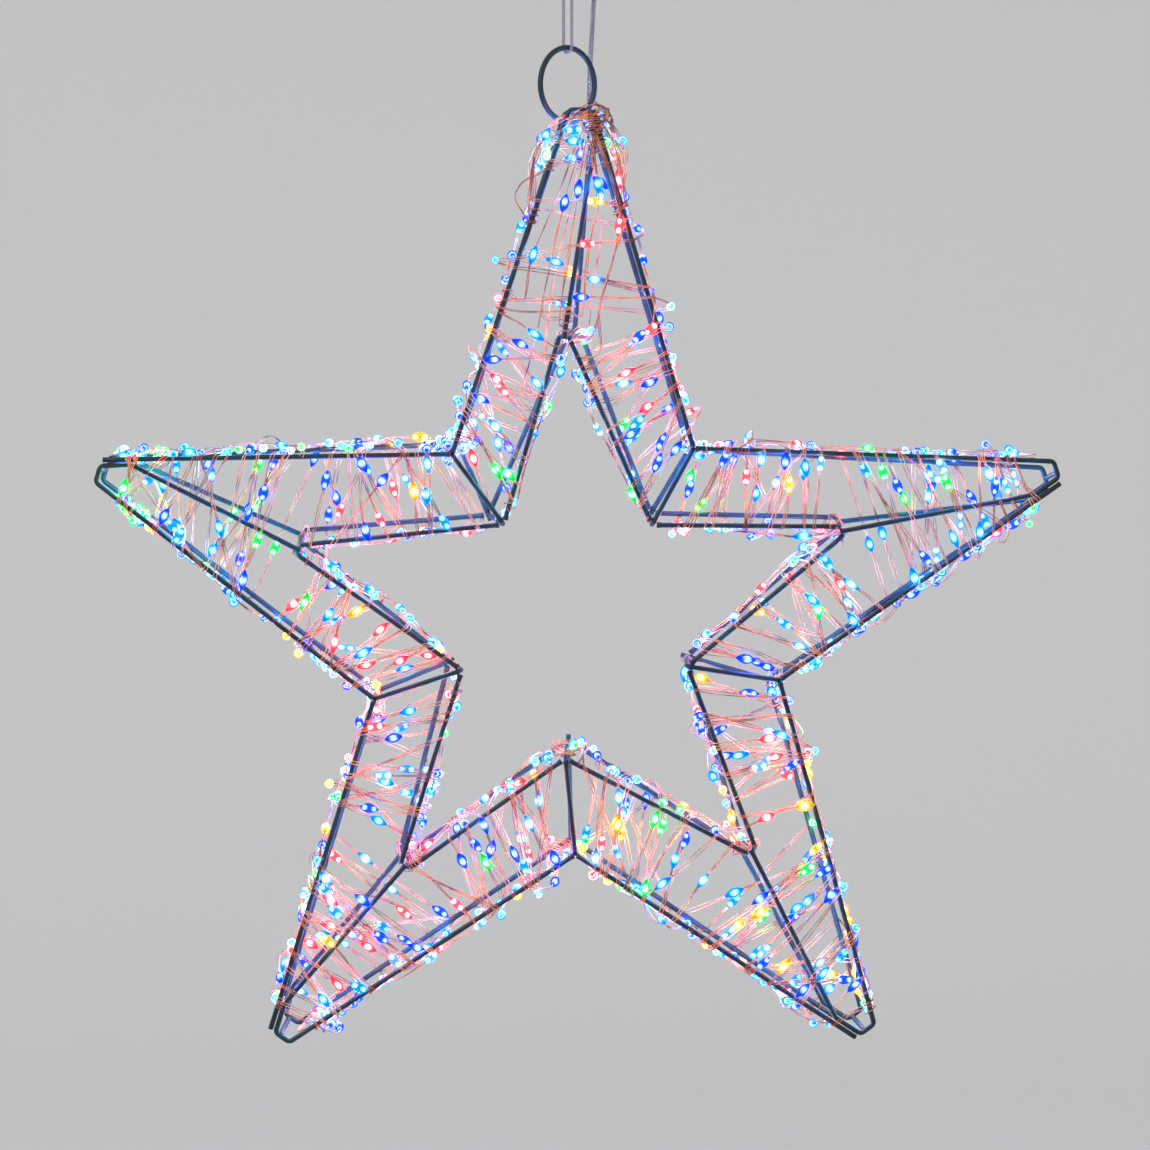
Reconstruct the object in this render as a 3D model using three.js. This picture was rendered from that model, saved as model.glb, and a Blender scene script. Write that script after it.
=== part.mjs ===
// LED Christmas star: a ring-star box frame bent from black lacquered steel rod, wound with a string of
// micro lights on twin copper wire, hung by a wire ring, with its clear hanging cord and its clear lead.
// Millimetres, +Z up. The origin is the hanging point, inside the top of the ring. The front faces -Y.
import * as THREE from "three";

// Frame: the star's corners, as distances from its centre to the rods' centrelines
const TIP_RADIUS = 204;
const NOTCH_RADIUS = 88;
const INNER_TIP_RADIUS = 112;
const INNER_NOTCH_RADIUS = 50;
const FRAME_DEPTH = 36; // between the front and the back face's centrelines
const TIP_WIDTH = 9.2; // of an arm's blunt end, between its edges' centrelines
const STRUT_LAP = 12; // of the strut along the cut edge rod, before it turns down the arm's middle
const ROD_DIAMETER = 2;
const BEND_RADIUS = 2.2; // on the rod's centreline
const WELD_GAP = 0.3; // left at a weld, between the rod end and what it meets
const STUB_LENGTH = 2.4; // a hoop's back strut runs on this far past its inner bar
const HAND_BEND = 5; // the measure of how far a hand-bent corner strays from the true star

// Hanging ring
const RING_BORE = 26.9;
const RING_WIRE = 2.2;
const RING_TURN = 40; // degrees, about the vertical
const RING_CONTACT = -57.5; // degrees round the ring, up from its right side, where its bar lies in it
const RUNNING_GAP = 0.3; // between the ring and the bar that swings in it

// Light string
const STRING_WIDTH = 0.9; // across the twin wires
const STRING_GAP = 0.95; // from the string to the rods' faces
const BEAD_LENGTH = 7.5;
const BEAD_DIAMETER = 3.4;
const LIMB_TURNS = 4;
const LOWER_ARM_TURNS = 3;
const UPPER_ARM_TURNS = 4;
const START_WRAPS = 4;
const WRAP_BUNDLE = 1.2; // diameter of the wires that start the string, laid together
const WRAP_SPACING = 0.55; // between wraps of that bundle

// Lead
const LEAD_DIAMETER = 2;
const SPLICE_DIAMETER = 3.4;
const SPLICE_LENGTH = 12;
const COIL_OUTER_RADIUS = 19; // of the outermost turn's centreline
const COIL_LAYERS = 4;
const COIL_TURNS = 5; // in each layer
const COIL_SPACING = 0.8; // between neighbouring turns
const CORD_GAP = 0.3; // where a cord meets a piece or passes one
const TIE_WIDTH = 3;
const TIE_THICKNESS = 0.9;
const PLUG_DIAMETER = 8.6;
const PLUG_GRIP = 15;
const PLUG_RELIEF = 6;
const PLUG_BARREL_DIAMETER = 5.5;
const PLUG_BARREL = 8;

// Hanging cord
const HANGER_DIAMETER = 1.2;
const HANGER_BEND = 2.4; // radius under the ring
const HANGER_TOP = 66;
const KNOT_DIAMETER = 4.4;
const KNOT_HEIGHT = 5;

// Faces round a rod and steps round a bend or a turn
const ROD_SIDES = 8;
const BEND_STEPS = 3;
const STRING_SIDES = 4;
const WRAP_STEPS = 8;
const COIL_STEPS = 12;
const COIL_SIDES = 5;
const RING_STEPS = 36;
const HANGER_STEPS = 8;
const TURNED_STEPS = 16;

// How each corner strays, right and up, as shares of HAND_BEND: front face first, then the back face.
// Arms and notches run clockwise from the top, and a notch follows its arm.
const tipShares = [
  [[0.45, 0], [0.45, 0]], [[-0.5, -0.35], [-0.15, -1.3]], [[-0.7, 0.4], [-0.85, 0.1]],
  [[0.4, 0.5], [1, 0.5]], [[1.4, 0], [1.4, -0.3]],
];
const notchShares = [
  [[-1, 0], [-0.8, -0.5]], [[-0.5, 1.2], [-0.6, 0.4]], [[0, -0.5], [0, -0.4]],
  [[0.8, -0.1], [1.1, -0.3]], [[0.6, -0.4], [1.3, 0]],
];
const innerTipShares = [
  [[-0.9, 0.6], [0.3, 1]], [[-0.2, 0.7], [0.4, 0.9]], [[0.9, 0.2], [0.4, -0.2]],
  [[-0.4, -0.8], [-0.3, -0.6]], [[-0.5, -0.6], [-0.4, 0]],
];
const innerNotchShares = [
  [[0.2, 0.1], [0.6, 0.5]], [[-0.6, 0], [-0.1, 0]], [[-0.8, -0.4], [-0.2, 0.1]],
  [[0.5, -0.2], [-0.4, -0.3]], [[0.2, 0.2], [-0.8, 0.4]],
];

// The windings' stations, as shares of the rod that they run along
const limbStartShare = 0.12;
const limbEndShare = 0.9;
const limbEdgeShare = 0.4; // the part of an outer edge that lies beside the inner edge
const armStartShare = 0.44;
const bayStartShare = 0.57;
const bayEndShare = 0.71;
const armEndShare = 0.89;
const beadPlaceShare = 0.28; // of the span that a bead sits on, so that it clears the centre strut
const wrapEndShare = 0.975; // of the outer edge, where the string's start is wrapped round it

const ARMS = ["top", "upper_right", "lower_right", "lower_left", "upper_left"];
const NOTCHES = ["upper_right", "lower_right", "bottom", "lower_left", "upper_left"];

const rodRadius = ROD_DIAMETER / 2;
const faceY = FRAME_DEPTH / 2;
const ringTurn = THREE.MathUtils.degToRad(RING_TURN);
const ringRadius = (RING_BORE + RING_WIRE) / 2;
const ringCentreZ = -RING_BORE / 2;
// The bar that the ring hangs round is the top arm's spacer, which keeps clear of the ring's inside. Seen
// along that bar, the ring is an oval.
const contact = THREE.MathUtils.degToRad(RING_CONTACT);
const ovalRadius = ringRadius * Math.cos(ringTurn);
const rim = new THREE.Vector2(ovalRadius * Math.cos(contact), ringRadius * Math.sin(contact));
const rimNormal = new THREE.Vector2(Math.cos(contact) / ovalRadius, Math.sin(contact) / ringRadius);
const bar = rim.addScaledVector(rimNormal.normalize(), -(rodRadius + RING_WIRE / 2 + RUNNING_GAP));
const barShift = HAND_BEND * tipShares[0][0][0];
const starCentre = new THREE.Vector3(bar.x - barShift, 0, ringCentreZ + bar.y - TIP_RADIUS);
console.log(`star_swing: the bar is at ${bar.x.toFixed(2)}, ${(ringCentreZ + bar.y).toFixed(2)}`);

const materials = {
  lacquer: new THREE.MeshStandardMaterial({ color: 0x14151c, roughness: 0.3, metalness: 0.6 }),
  copper: new THREE.MeshStandardMaterial({ color: 0xc07a58, roughness: 0.35, metalness: 0.9 }),
  clear: new THREE.MeshStandardMaterial({ color: 0xc9c8c4, roughness: 0.2, metalness: 0 }),
  shrink: new THREE.MeshStandardMaterial({ color: 0xd8d8d6, roughness: 0.4, metalness: 0 }),
  moulded: new THREE.MeshStandardMaterial({ color: 0xd2d2ce, roughness: 0.45, metalness: 0 }),
};

const star = new THREE.Group();

function addPiece(name, geometry, material) {
  const piece = new THREE.Mesh(geometry, material);
  piece.name = name;
  star.add(piece);
  return piece;
}

// Tubes and rods

// A centreline given by its own stations, so that straight runs stay one step long.
class Centreline extends THREE.Curve {
  constructor(points) {
    super();
    this.points = points;
  }

  getPointAt(share, target = new THREE.Vector3()) {
    return target.copy(this.points[Math.round(share * (this.points.length - 1))]);
  }

  getTangentAt(share, target = new THREE.Vector3()) {
    const last = this.points.length - 1;
    const at = Math.round(share * last);
    const before = this.points[Math.max(at - 1, 0)];
    const after = this.points[Math.min(at + 1, last)];
    const here = this.points[at];
    const arriving = here.clone().sub(before).normalize();
    const leaving = after.clone().sub(here).normalize();
    return target.copy(arriving).add(leaving).normalize();
  }
}

function roundTube(points, diameter, sides) {
  const section = new THREE.Shape();
  for (let side = 0; side < sides; side += 1) {
    const angle = (2 * Math.PI * side) / sides;
    const x = (diameter / 2) * Math.cos(angle);
    const y = (diameter / 2) * Math.sin(angle);
    if (side === 0) {
      section.moveTo(x, y);
    } else {
      section.lineTo(x, y);
    }
  }
  section.closePath();
  const steps = points.length - 1;
  const extrudePath = new Centreline(points);
  return new THREE.ExtrudeGeometry(section, { steps, extrudePath, bevelEnabled: false });
}

// Rounds each inner corner of a line with an arc of BEND_RADIUS.
function bentLine(corners) {
  const points = [corners[0]];
  for (let i = 1; i < corners.length - 1; i += 1) {
    const back = corners[i - 1].clone().sub(corners[i]).normalize();
    const on = corners[i + 1].clone().sub(corners[i]).normalize();
    const half = back.angleTo(on) / 2;
    const along = BEND_RADIUS / Math.tan(half);
    const inward = back.clone().add(on).normalize();
    const middle = corners[i].clone().addScaledVector(inward, BEND_RADIUS / Math.sin(half));
    const first = corners[i].clone().addScaledVector(back, along).sub(middle);
    const last = corners[i].clone().addScaledVector(on, along).sub(middle);
    const turn = first.angleTo(last);
    for (let step = 0; step <= BEND_STEPS; step += 1) {
      const share = step / BEND_STEPS;
      const a = Math.sin((1 - share) * turn) / Math.sin(turn);
      const b = Math.sin(share * turn) / Math.sin(turn);
      points.push(middle.clone().addScaledVector(first, a).addScaledVector(last, b));
    }
  }
  points.push(corners[corners.length - 1]);
  return points;
}

function rod(corners) {
  return roundTube(bentLine(corners), ROD_DIAMETER, ROD_SIDES);
}

// The point on the line from a towards b, this far from a.
function towards(a, b, distance) {
  return a.clone().addScaledVector(b.clone().sub(a).normalize(), distance);
}

// A tube whose radius may change from station to station, closed at both ends.
function sweptTube(points, radii, sides) {
  const line = new Centreline(points);
  const last = points.length - 1;
  const frames = line.computeFrenetFrames(last, false);
  const vertices = [];
  points.forEach((point, i) => {
    for (let side = 0; side < sides; side += 1) {
      const angle = (2 * Math.PI * side) / sides;
      const vertex = point.clone();
      vertex.addScaledVector(frames.normals[i], radii[i] * Math.cos(angle));
      vertex.addScaledVector(frames.binormals[i], radii[i] * Math.sin(angle));
      vertices.push(vertex.x, vertex.y, vertex.z);
    }
  });
  const faces = [];
  for (let i = 0; i < last; i += 1) {
    for (let side = 0; side < sides; side += 1) {
      const a = i * sides + side;
      const b = i * sides + ((side + 1) % sides);
      faces.push(a, b, b + sides, a, b + sides, a + sides);
    }
  }
  for (let side = 1; side < sides - 1; side += 1) {
    faces.push(0, side + 1, side);
    faces.push(last * sides, last * sides + side, last * sides + side + 1);
  }
  const geometry = new THREE.BufferGeometry();
  geometry.setAttribute("position", new THREE.Float32BufferAttribute(vertices, 3));
  geometry.setIndex(faces);
  return geometry;
}

// The least space between a wound tube's turns, measured between points of its centreline that are
// further apart along the tube than this many diameters.
const NEIGHBOUR_DIAMETERS = 4;

function leastGap(points, diameter) {
  const dense = [];
  for (let i = 0; i < points.length - 1; i += 1) {
    const pieces = Math.max(1, Math.ceil(points[i].distanceTo(points[i + 1]) / diameter));
    for (let j = 0; j < pieces; j += 1) {
      dense.push(points[i].clone().lerp(points[i + 1], j / pieces));
    }
  }
  const along = [0];
  for (let i = 1; i < dense.length; i += 1) {
    along.push(along[i - 1] + dense[i].distanceTo(dense[i - 1]));
  }
  let least = Infinity;
  for (let i = 0; i < dense.length; i += 1) {
    for (let j = i + 1; j < dense.length; j += 1) {
      if (along[j] - along[i] > NEIGHBOUR_DIAMETERS * diameter) {
        least = Math.min(least, dense[i].distanceTo(dense[j]));
      }
    }
  }
  return least - diameter;
}

function lineLength(points) {
  return points.slice(1).reduce((sum, point, i) => sum + point.distanceTo(points[i]), 0);
}

// Corners of the frame: side is 0 for the front face and 1 for the back face

function faceDepth(side) {
  return side === 0 ? -faceY : faceY;
}

function armDirection(arm) {
  return Math.PI / 2 - (2 * Math.PI * arm) / ARMS.length;
}

function notchDirection(notch) {
  return armDirection(notch) - Math.PI / ARMS.length;
}

// A point beside an arm's axis: out along the arm, and across it to the anticlockwise side.
function corner(radius, direction, across, side, shares) {
  const [right, up] = shares[side];
  const x = radius * Math.cos(direction) - across * Math.sin(direction) + right * HAND_BEND;
  const z = radius * Math.sin(direction) + across * Math.cos(direction) + up * HAND_BEND;
  return new THREE.Vector3(x, faceDepth(side), z).add(starCentre);
}

// The strut starts beside the clockwise edge's cut end, and lies a weld's gap from that leaning edge.
const notchTurn = Math.PI / ARMS.length;
const edgeReach = TIP_RADIUS - NOTCH_RADIUS * Math.cos(notchTurn);
const edgeSpread = NOTCH_RADIUS * Math.sin(notchTurn) - TIP_WIDTH / 2;
const clockwiseEdge = TIP_WIDTH / 2;
const strutStart = clockwiseEdge - (ROD_DIAMETER + WELD_GAP) / Math.cos(Math.atan2(edgeSpread, edgeReach));
// The strut's foot stands between two hairpins, and their rounded bends leave it the weld's gap.
const hairpinOffset = ROD_DIAMETER;

function tip(arm, across, side) {
  return corner(TIP_RADIUS, armDirection(arm), across, side, tipShares[arm]);
}

function notch(index, side) {
  return corner(NOTCH_RADIUS, notchDirection(index), 0, side, notchShares[index]);
}

function innerTip(arm, across, side) {
  return corner(INNER_TIP_RADIUS, armDirection(arm), across, side, innerTipShares[arm]);
}

function innerNotch(index, side) {
  return corner(INNER_NOTCH_RADIUS, notchDirection(index), 0, side, innerNotchShares[index]);
}

function notchBefore(arm) {
  return (arm + ARMS.length - 1) % ARMS.length;
}

// Where a rod stops short of the corner that it is welded to
const edgeStop = rodRadius + WELD_GAP;
const legStop = 2 * rodRadius + WELD_GAP;

// Where the strut leaves the clockwise edge.
function strutTurn(arm, side) {
  const edgeEnd = tip(arm, -clockwiseEdge, side);
  const along = towards(edgeEnd, notch(arm, side), STRUT_LAP).sub(edgeEnd);
  return tip(arm, -strutStart, side).add(along);
}

// Arm loops: one rod bent round the blunt tip, from the outer edge back down the middle of the arm.
function armLoop(arm, side) {
  const foot = notch(notchBefore(arm), side);
  const left = tip(arm, TIP_WIDTH / 2, side);
  const right = tip(arm, -strutStart, side);
  const bent = bentLine([towards(foot, left, edgeStop), left, right, strutTurn(arm, side)]);
  return roundTube([...bent, innerTip(arm, 0, side)], ROD_DIAMETER, ROD_SIDES);
}

// The other outer edge, cut off square beside the loop's bend.
function edgeRod(arm, side) {
  const foot = notch(arm, side);
  const end = tip(arm, -clockwiseEdge, side);
  return rod([towards(foot, end, edgeStop), end]);
}

// Inner edges: a hairpin whose legs are the front and the back edge, joined at the inner tip.
function hairpin(arm, clockwise) {
  const offset = clockwise ? -hairpinOffset : hairpinOffset;
  const foot = clockwise ? arm : notchBefore(arm);
  const ends = [0, 1].map((side) => innerNotch(foot, side));
  const bends = [0, 1].map((side) => innerTip(arm, offset, side));
  const legs = [0, 1].map((side) => towards(ends[side], bends[side], legStop));
  return rod([legs[0], bends[0], bends[1], legs[1]]);
}

// Notch hoops: front strut, outer bar, back strut and inner bar in one rod, closed by a weld at the back.
function notchHoop(index) {
  const inner = [0, 1].map((side) => innerNotch(index, side));
  const outer = [0, 1].map((side) => notch(index, side));
  const start = towards(inner[1], inner[0], edgeStop);
  const end = towards(inner[1], outer[1], -STUB_LENGTH);
  return rod([start, inner[0], outer[0], outer[1], end]);
}

// Tip spacers: a short rod between the two blunt ends.
function tipSpacer(arm) {
  const front = tip(arm, 0, 0);
  const back = tip(arm, 0, 1);
  return rod([towards(front, back, edgeStop), towards(back, front, edgeStop)]);
}

ARMS.forEach((name, arm) => {
  addPiece(`front_arm_loop_${name}`, armLoop(arm, 0), materials.lacquer);
  addPiece(`back_arm_loop_${name}`, armLoop(arm, 1), materials.lacquer);
  addPiece(`front_edge_rod_${name}`, edgeRod(arm, 0), materials.lacquer);
  addPiece(`back_edge_rod_${name}`, edgeRod(arm, 1), materials.lacquer);
  addPiece(`inner_hairpin_left_${name}`, hairpin(arm, false), materials.lacquer);
  addPiece(`inner_hairpin_right_${name}`, hairpin(arm, true), materials.lacquer);
  addPiece(`tip_spacer_${name}`, tipSpacer(arm), materials.lacquer);
});
NOTCHES.forEach((name, index) => {
  addPiece(`notch_hoop_${name}`, notchHoop(index), materials.lacquer);
});

// Hanging ring: a welded wire ring, hung round the top arm's spacer.
const ring = addPiece(
  "hanging_ring",
  new THREE.TorusGeometry(ringRadius, RING_WIRE / 2, ROD_SIDES, RING_STEPS),
  materials.lacquer,
);
ring.rotation.set(Math.PI / 2, 0, ringTurn, "ZYX");
ring.position.set(0, 0, ringCentreZ);

// Light string

const stringRadius = STRING_WIDTH / 2;
const stringOffset = rodRadius + STRING_GAP + stringRadius;

// The rods that a winding goes round at one station: a is its outer edge, b the edge facing it.
function limbSection(arm, clockwise, share, side) {
  const foot = clockwise ? arm : notchBefore(arm);
  const across = clockwise ? -clockwiseEdge : TIP_WIDTH / 2;
  const offset = clockwise ? -hairpinOffset : hairpinOffset;
  return {
    a: notch(foot, side).lerp(tip(arm, across, side), share * limbEdgeShare),
    b: innerNotch(foot, side).lerp(innerTip(arm, offset, side), share),
  };
}

function armSection(arm, share, side) {
  return {
    a: notch(notchBefore(arm), side).lerp(tip(arm, TIP_WIDTH / 2, side), share),
    b: notch(arm, side).lerp(tip(arm, -clockwiseEdge, side), share),
  };
}

// One turn's stops: which rod, which face, whether the string lies on the rod's face or on its outer
// side, and how far on the turn has come.
const turnStopShares = [
  { rod: "a", side: 0, outside: true, share: 0 },
  { rod: "a", side: 0, outside: false, share: 0.05 },
  { rod: "b", side: 0, outside: false, share: 0.35 },
  { rod: "b", side: 0, outside: true, share: 0.4 },
  { rod: "b", side: 1, outside: true, share: 0.55 },
  { rod: "b", side: 1, outside: false, share: 0.6 },
  { rod: "a", side: 1, outside: false, share: 0.9 },
  { rod: "a", side: 1, outside: true, share: 0.95 },
];

// Adds turns to a winding. sectionAt(share, side) gives the rods, and share runs from start to end.
function addTurns(stations, sectionAt, turns, start, end) {
  for (let turn = 0; turn < turns; turn += 1) {
    turnStopShares.forEach((stop, i) => {
      const share = start + ((end - start) * (turn + stop.share)) / turns;
      const section = sectionAt(share, stop.side);
      const other = stop.rod === "a" ? section.b : section.a;
      const centre = section[stop.rod];
      const outward = stop.outside
        ? centre.clone().sub(other).normalize()
        : new THREE.Vector3(0, Math.sign(faceDepth(stop.side)), 0);
      const spanHasBead = turn % 2 === 0 ? i === 1 : i === 5;
      stations.push({ point: centre.clone().addScaledVector(outward, stringOffset), bead: spanHasBead });
    });
  }
}

// Turns the stations into one tube, with a bead on the span that follows each marked station.
function windString(name, stations) {
  const points = [];
  const radii = [];
  stations.forEach((station, i) => {
    points.push(station.point);
    radii.push(stringRadius);
    const next = stations[i + 1];
    if (station.bead && next) {
      const length = station.point.distanceTo(next.point);
      const share = i % turnStopShares.length === 1 ? beadPlaceShare : 1 - beadPlaceShare;
      const middle = share * length;
      const half = BEAD_LENGTH / 2;
      for (const [offset, radius] of [[-half, stringRadius], [0, BEAD_DIAMETER / 2], [half, stringRadius]]) {
        points.push(towards(station.point, next.point, middle + offset));
        radii.push(radius);
      }
    }
  });
  console.log(`${name}: least gap between turns ${leastGap(points, STRING_WIDTH).toFixed(2)} mm`);
  addPiece(name, sweptTube(points, radii, STRING_SIDES), materials.copper);
}

ARMS.forEach((name, arm) => {
  const alongLimb = (share, side) => limbSection(arm, false, share, side);
  const alongArm = (share, side) => armSection(arm, share, side);
  const alongOtherLimb = (share, side) => limbSection(arm, true, share, side);
  const longWinding = [];
  addTurns(longWinding, alongLimb, LIMB_TURNS, limbStartShare, limbEndShare);
  addTurns(longWinding, alongArm, LOWER_ARM_TURNS, armStartShare, bayStartShare);
  addTurns(longWinding, alongArm, UPPER_ARM_TURNS, bayEndShare, armEndShare);
  windString(`light_string_arm_${name}`, longWinding);
  const shortWinding = [];
  addTurns(shortWinding, alongOtherLimb, LIMB_TURNS, limbStartShare, limbEndShare);
  windString(`light_string_limb_${name}`, shortWinding);
});

// Where the string starts, its wires are wrapped round the two rods beside the top arm's blunt end.
function startWraps() {
  const pitch = WRAP_BUNDLE + WRAP_SPACING;
  const edgeFoot = notch(0, 0);
  const edgeEnd = tip(0, -clockwiseEdge, 0);
  const strutFoot = strutTurn(0, 0);
  const strutEnd = tip(0, -strutStart, 0);
  const edgeLength = edgeFoot.distanceTo(edgeEnd);
  const points = [];
  for (let step = 0; step <= START_WRAPS * WRAP_STEPS; step += 1) {
    const turn = step / WRAP_STEPS;
    const edgeShare = wrapEndShare - (turn * pitch) / edgeLength;
    const edgePoint = edgeFoot.clone().lerp(edgeEnd, edgeShare);
    const rise = (edgePoint.z - strutFoot.z) / (strutEnd.z - strutFoot.z);
    const strutPoint = strutFoot.clone().lerp(strutEnd, rise);
    const centre = edgePoint.clone().add(strutPoint).multiplyScalar(0.5);
    const clear = rodRadius + WELD_GAP + WRAP_BUNDLE / 2;
    const across = edgePoint.distanceTo(strutPoint) / 2 + clear;
    const angle = 2 * Math.PI * turn;
    const sideways = across * Math.cos(angle);
    const forwards = -clear * Math.SQRT2 * Math.sin(angle);
    points.push(centre.add(new THREE.Vector3(sideways, forwards, 0)));
  }
  console.log(`string_start_wraps: least gap ${leastGap(points, WRAP_BUNDLE).toFixed(2)} mm`);
  return sweptTube(points, points.map(() => WRAP_BUNDLE / 2), COIL_SIDES);
}

addPiece("string_start_wraps", startWraps(), materials.copper);

// Hanging cord: one clear cord, doubled through the ring and knotted above. Its route is a list of
// points: height, and how far each leg lies from the middle.
const hangerLegs = [
  [HANGER_TOP, 0.8], [60, 1.3], [54, 1.9], [48, HANGER_BEND], [36, HANGER_BEND], [24, HANGER_BEND],
  [14, HANGER_BEND], [7, HANGER_BEND],
];

function hangerPoint(across, height) {
  return new THREE.Vector3(across * Math.sin(ringTurn), -across * Math.cos(ringTurn), height);
}

function hangerRoute() {
  const low = -(HANGER_DIAMETER / 2 + CORD_GAP); // the cord's middle, under the ring's wire
  const bend = [];
  for (let step = 0; step <= HANGER_STEPS; step += 1) {
    const angle = (Math.PI * step) / HANGER_STEPS;
    bend.push(hangerPoint(HANGER_BEND * Math.cos(angle), low + HANGER_BEND * (1 - Math.sin(angle))));
  }
  const down = hangerLegs.map(([height, across]) => hangerPoint(across, height));
  const up = hangerLegs.map(([height, across]) => hangerPoint(-across, height)).reverse();
  return [...down, ...bend, ...up];
}

addPiece("hanging_cord", roundTube(hangerRoute(), HANGER_DIAMETER, ROD_SIDES), materials.clear);

// A turned piece that stands or hangs on the Z axis. Its profile is [radius, height] from the bottom up.
function turned(profile) {
  const geometry = new THREE.LatheGeometry(profile.map(([r, z]) => new THREE.Vector2(r, z)), TURNED_STEPS);
  return geometry.rotateX(Math.PI / 2);
}

const knotShares = [[0, 0], [0.32, 0], [0.5, 0.3], [0.46, 0.6], [0.3, 0.85], [0, 1]];
const knotProfile = knotShares.map(([across, up]) => [across * KNOT_DIAMETER, up * KNOT_HEIGHT]);
const knot = addPiece("hanging_knot", turned(knotProfile), materials.clear);
knot.position.set(0, 0, HANGER_TOP + CORD_GAP);

// Lead: a clear twin cord, from its splice behind the top arm up to a coil tied to the hanging cord.
// Its free stretch follows these points.
const leadRoute = [
  [9.9, 24, -23.7], [9.9, 24, -19], [9.95, 23.9, -14], [10.1, 23.6, -8], [10.3, 23.1, -2],
  [10.6, 22.4, 4], [10.9, 21.5, 10], [11.2, 20.3, 16], [11.5, 18.9, 22], [11.8, 17.4, 28],
  [12, 15.8, 34], [12.2, 14.3, 40], [12.35, 13.2, 46], [12.4, 12.5, 51], [12.4, 12.2, 55.7],
].map(([x, y, z]) => new THREE.Vector3(x, y, z));
const leadStart = leadRoute[0];
const leadEnd = leadRoute[leadRoute.length - 1];

addPiece("lead_cord", roundTube(leadRoute, LEAD_DIAMETER, ROD_SIDES), materials.clear);

// Splice: the heat-shrink sleeve over the joint between the lead's cores and the string's copper wires.
const sleeveShares = [[0, 0], [0.4, 0], [0.5, 0.1], [0.5, 0.9], [0.4, 1], [0, 1]];
const sleeveProfile = sleeveShares.map(([across, up]) => [across * SPLICE_DIAMETER, up * SPLICE_LENGTH]);
const splice = addPiece("lead_splice", turned(sleeveProfile), materials.shrink);
splice.position.set(leadStart.x, leadStart.y, leadStart.z - CORD_GAP - SPLICE_LENGTH);

// Coil: spirals in and out layer by layer, from the back to the front, climbing in a half turn.
const coilPitch = LEAD_DIAMETER + COIL_SPACING;
const coilInnerRadius = COIL_OUTER_RADIUS - COIL_TURNS * coilPitch;
const coilStart = leadEnd.clone().add(new THREE.Vector3(0, 0, CORD_GAP));
const coilCentre = coilStart.clone().add(new THREE.Vector3(-COIL_OUTER_RADIUS, 0, LEAD_DIAMETER));

function coilPoint(turn, radius, layer) {
  const angle = 2 * Math.PI * turn;
  const offset = new THREE.Vector3(radius * Math.cos(angle), -layer * coilPitch, radius * Math.sin(angle));
  return offset.add(coilCentre);
}

function coilRoute() {
  const points = [coilStart];
  let turn = 0;
  for (let layer = 0; layer < COIL_LAYERS; layer += 1) {
    const inwards = layer % 2 === 0;
    for (let step = 0; step <= COIL_TURNS * COIL_STEPS; step += 1) {
      const wound = (step / COIL_STEPS) * coilPitch;
      points.push(coilPoint(turn, inwards ? COIL_OUTER_RADIUS - wound : coilInnerRadius + wound, layer));
      turn += step < COIL_TURNS * COIL_STEPS ? 1 / COIL_STEPS : 0;
    }
    if (layer < COIL_LAYERS - 1) {
      const radius = inwards ? coilInnerRadius : COIL_OUTER_RADIUS;
      for (let step = 1; step < COIL_STEPS / 2; step += 1) {
        points.push(coilPoint(turn + step / COIL_STEPS, radius, layer + (2 * step) / COIL_STEPS));
      }
      turn += 1 / 2;
    }
  }
  const end = points[points.length - 1];
  points.push(end.clone().add(new THREE.Vector3(0, 0, -LEAD_DIAMETER)));
  return points;
}

const coilLine = coilRoute();
const coilEnd = coilLine[coilLine.length - 1];
console.log(`lead_coil: least gap between turns ${leastGap(coilLine, LEAD_DIAMETER).toFixed(2)} mm`);
console.log(`lead: ${((lineLength(coilLine) + lineLength(leadRoute)) / 1000).toFixed(3)} m long`);
const coilRadii = coilLine.map(() => LEAD_DIAMETER / 2);
addPiece("lead_coil", sweptTube(coilLine, coilRadii, COIL_SIDES), materials.clear);

// Coil tie: a strap round the coil's right side and the hanging cord's two legs.
function coilTie() {
  const clear = LEAD_DIAMETER / 2 + CORD_GAP;
  const legReach = HANGER_DIAMETER / 2 + CORD_GAP;
  const coilReach = Math.sqrt(coilInnerRadius ** 2 - (TIE_WIDTH / 2) ** 2) - clear;
  const left = Math.min(-HANGER_BEND * Math.sin(ringTurn) - legReach, coilCentre.x + coilReach);
  const right = coilStart.x + clear;
  const front = -HANGER_BEND * Math.cos(ringTurn) - legReach;
  const back = coilStart.y + clear;
  const round = TIE_WIDTH / 2;
  const outline = (path, grow) => {
    const r = round + grow;
    const [x0, x1, y0, y1] = [left - grow, right + grow, front - grow, back + grow];
    path.moveTo(x0 + r, y0);
    path.absarc(x1 - r, y0 + r, r, -Math.PI / 2, 0, false);
    path.absarc(x1 - r, y1 - r, r, 0, Math.PI / 2, false);
    path.absarc(x0 + r, y1 - r, r, Math.PI / 2, Math.PI, false);
    path.absarc(x0 + r, y0 + r, r, Math.PI, 1.5 * Math.PI, false);
    return path;
  };
  const strap = outline(new THREE.Shape(), TIE_THICKNESS);
  strap.holes.push(outline(new THREE.Path(), 0));
  const curveSegments = BEND_STEPS;
  return new THREE.ExtrudeGeometry(strap, { depth: TIE_WIDTH, bevelEnabled: false, curveSegments });
}

const tie = addPiece("coil_tie", coilTie(), materials.moulded);
tie.position.z = coilCentre.z - TIE_WIDTH / 2;

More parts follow.
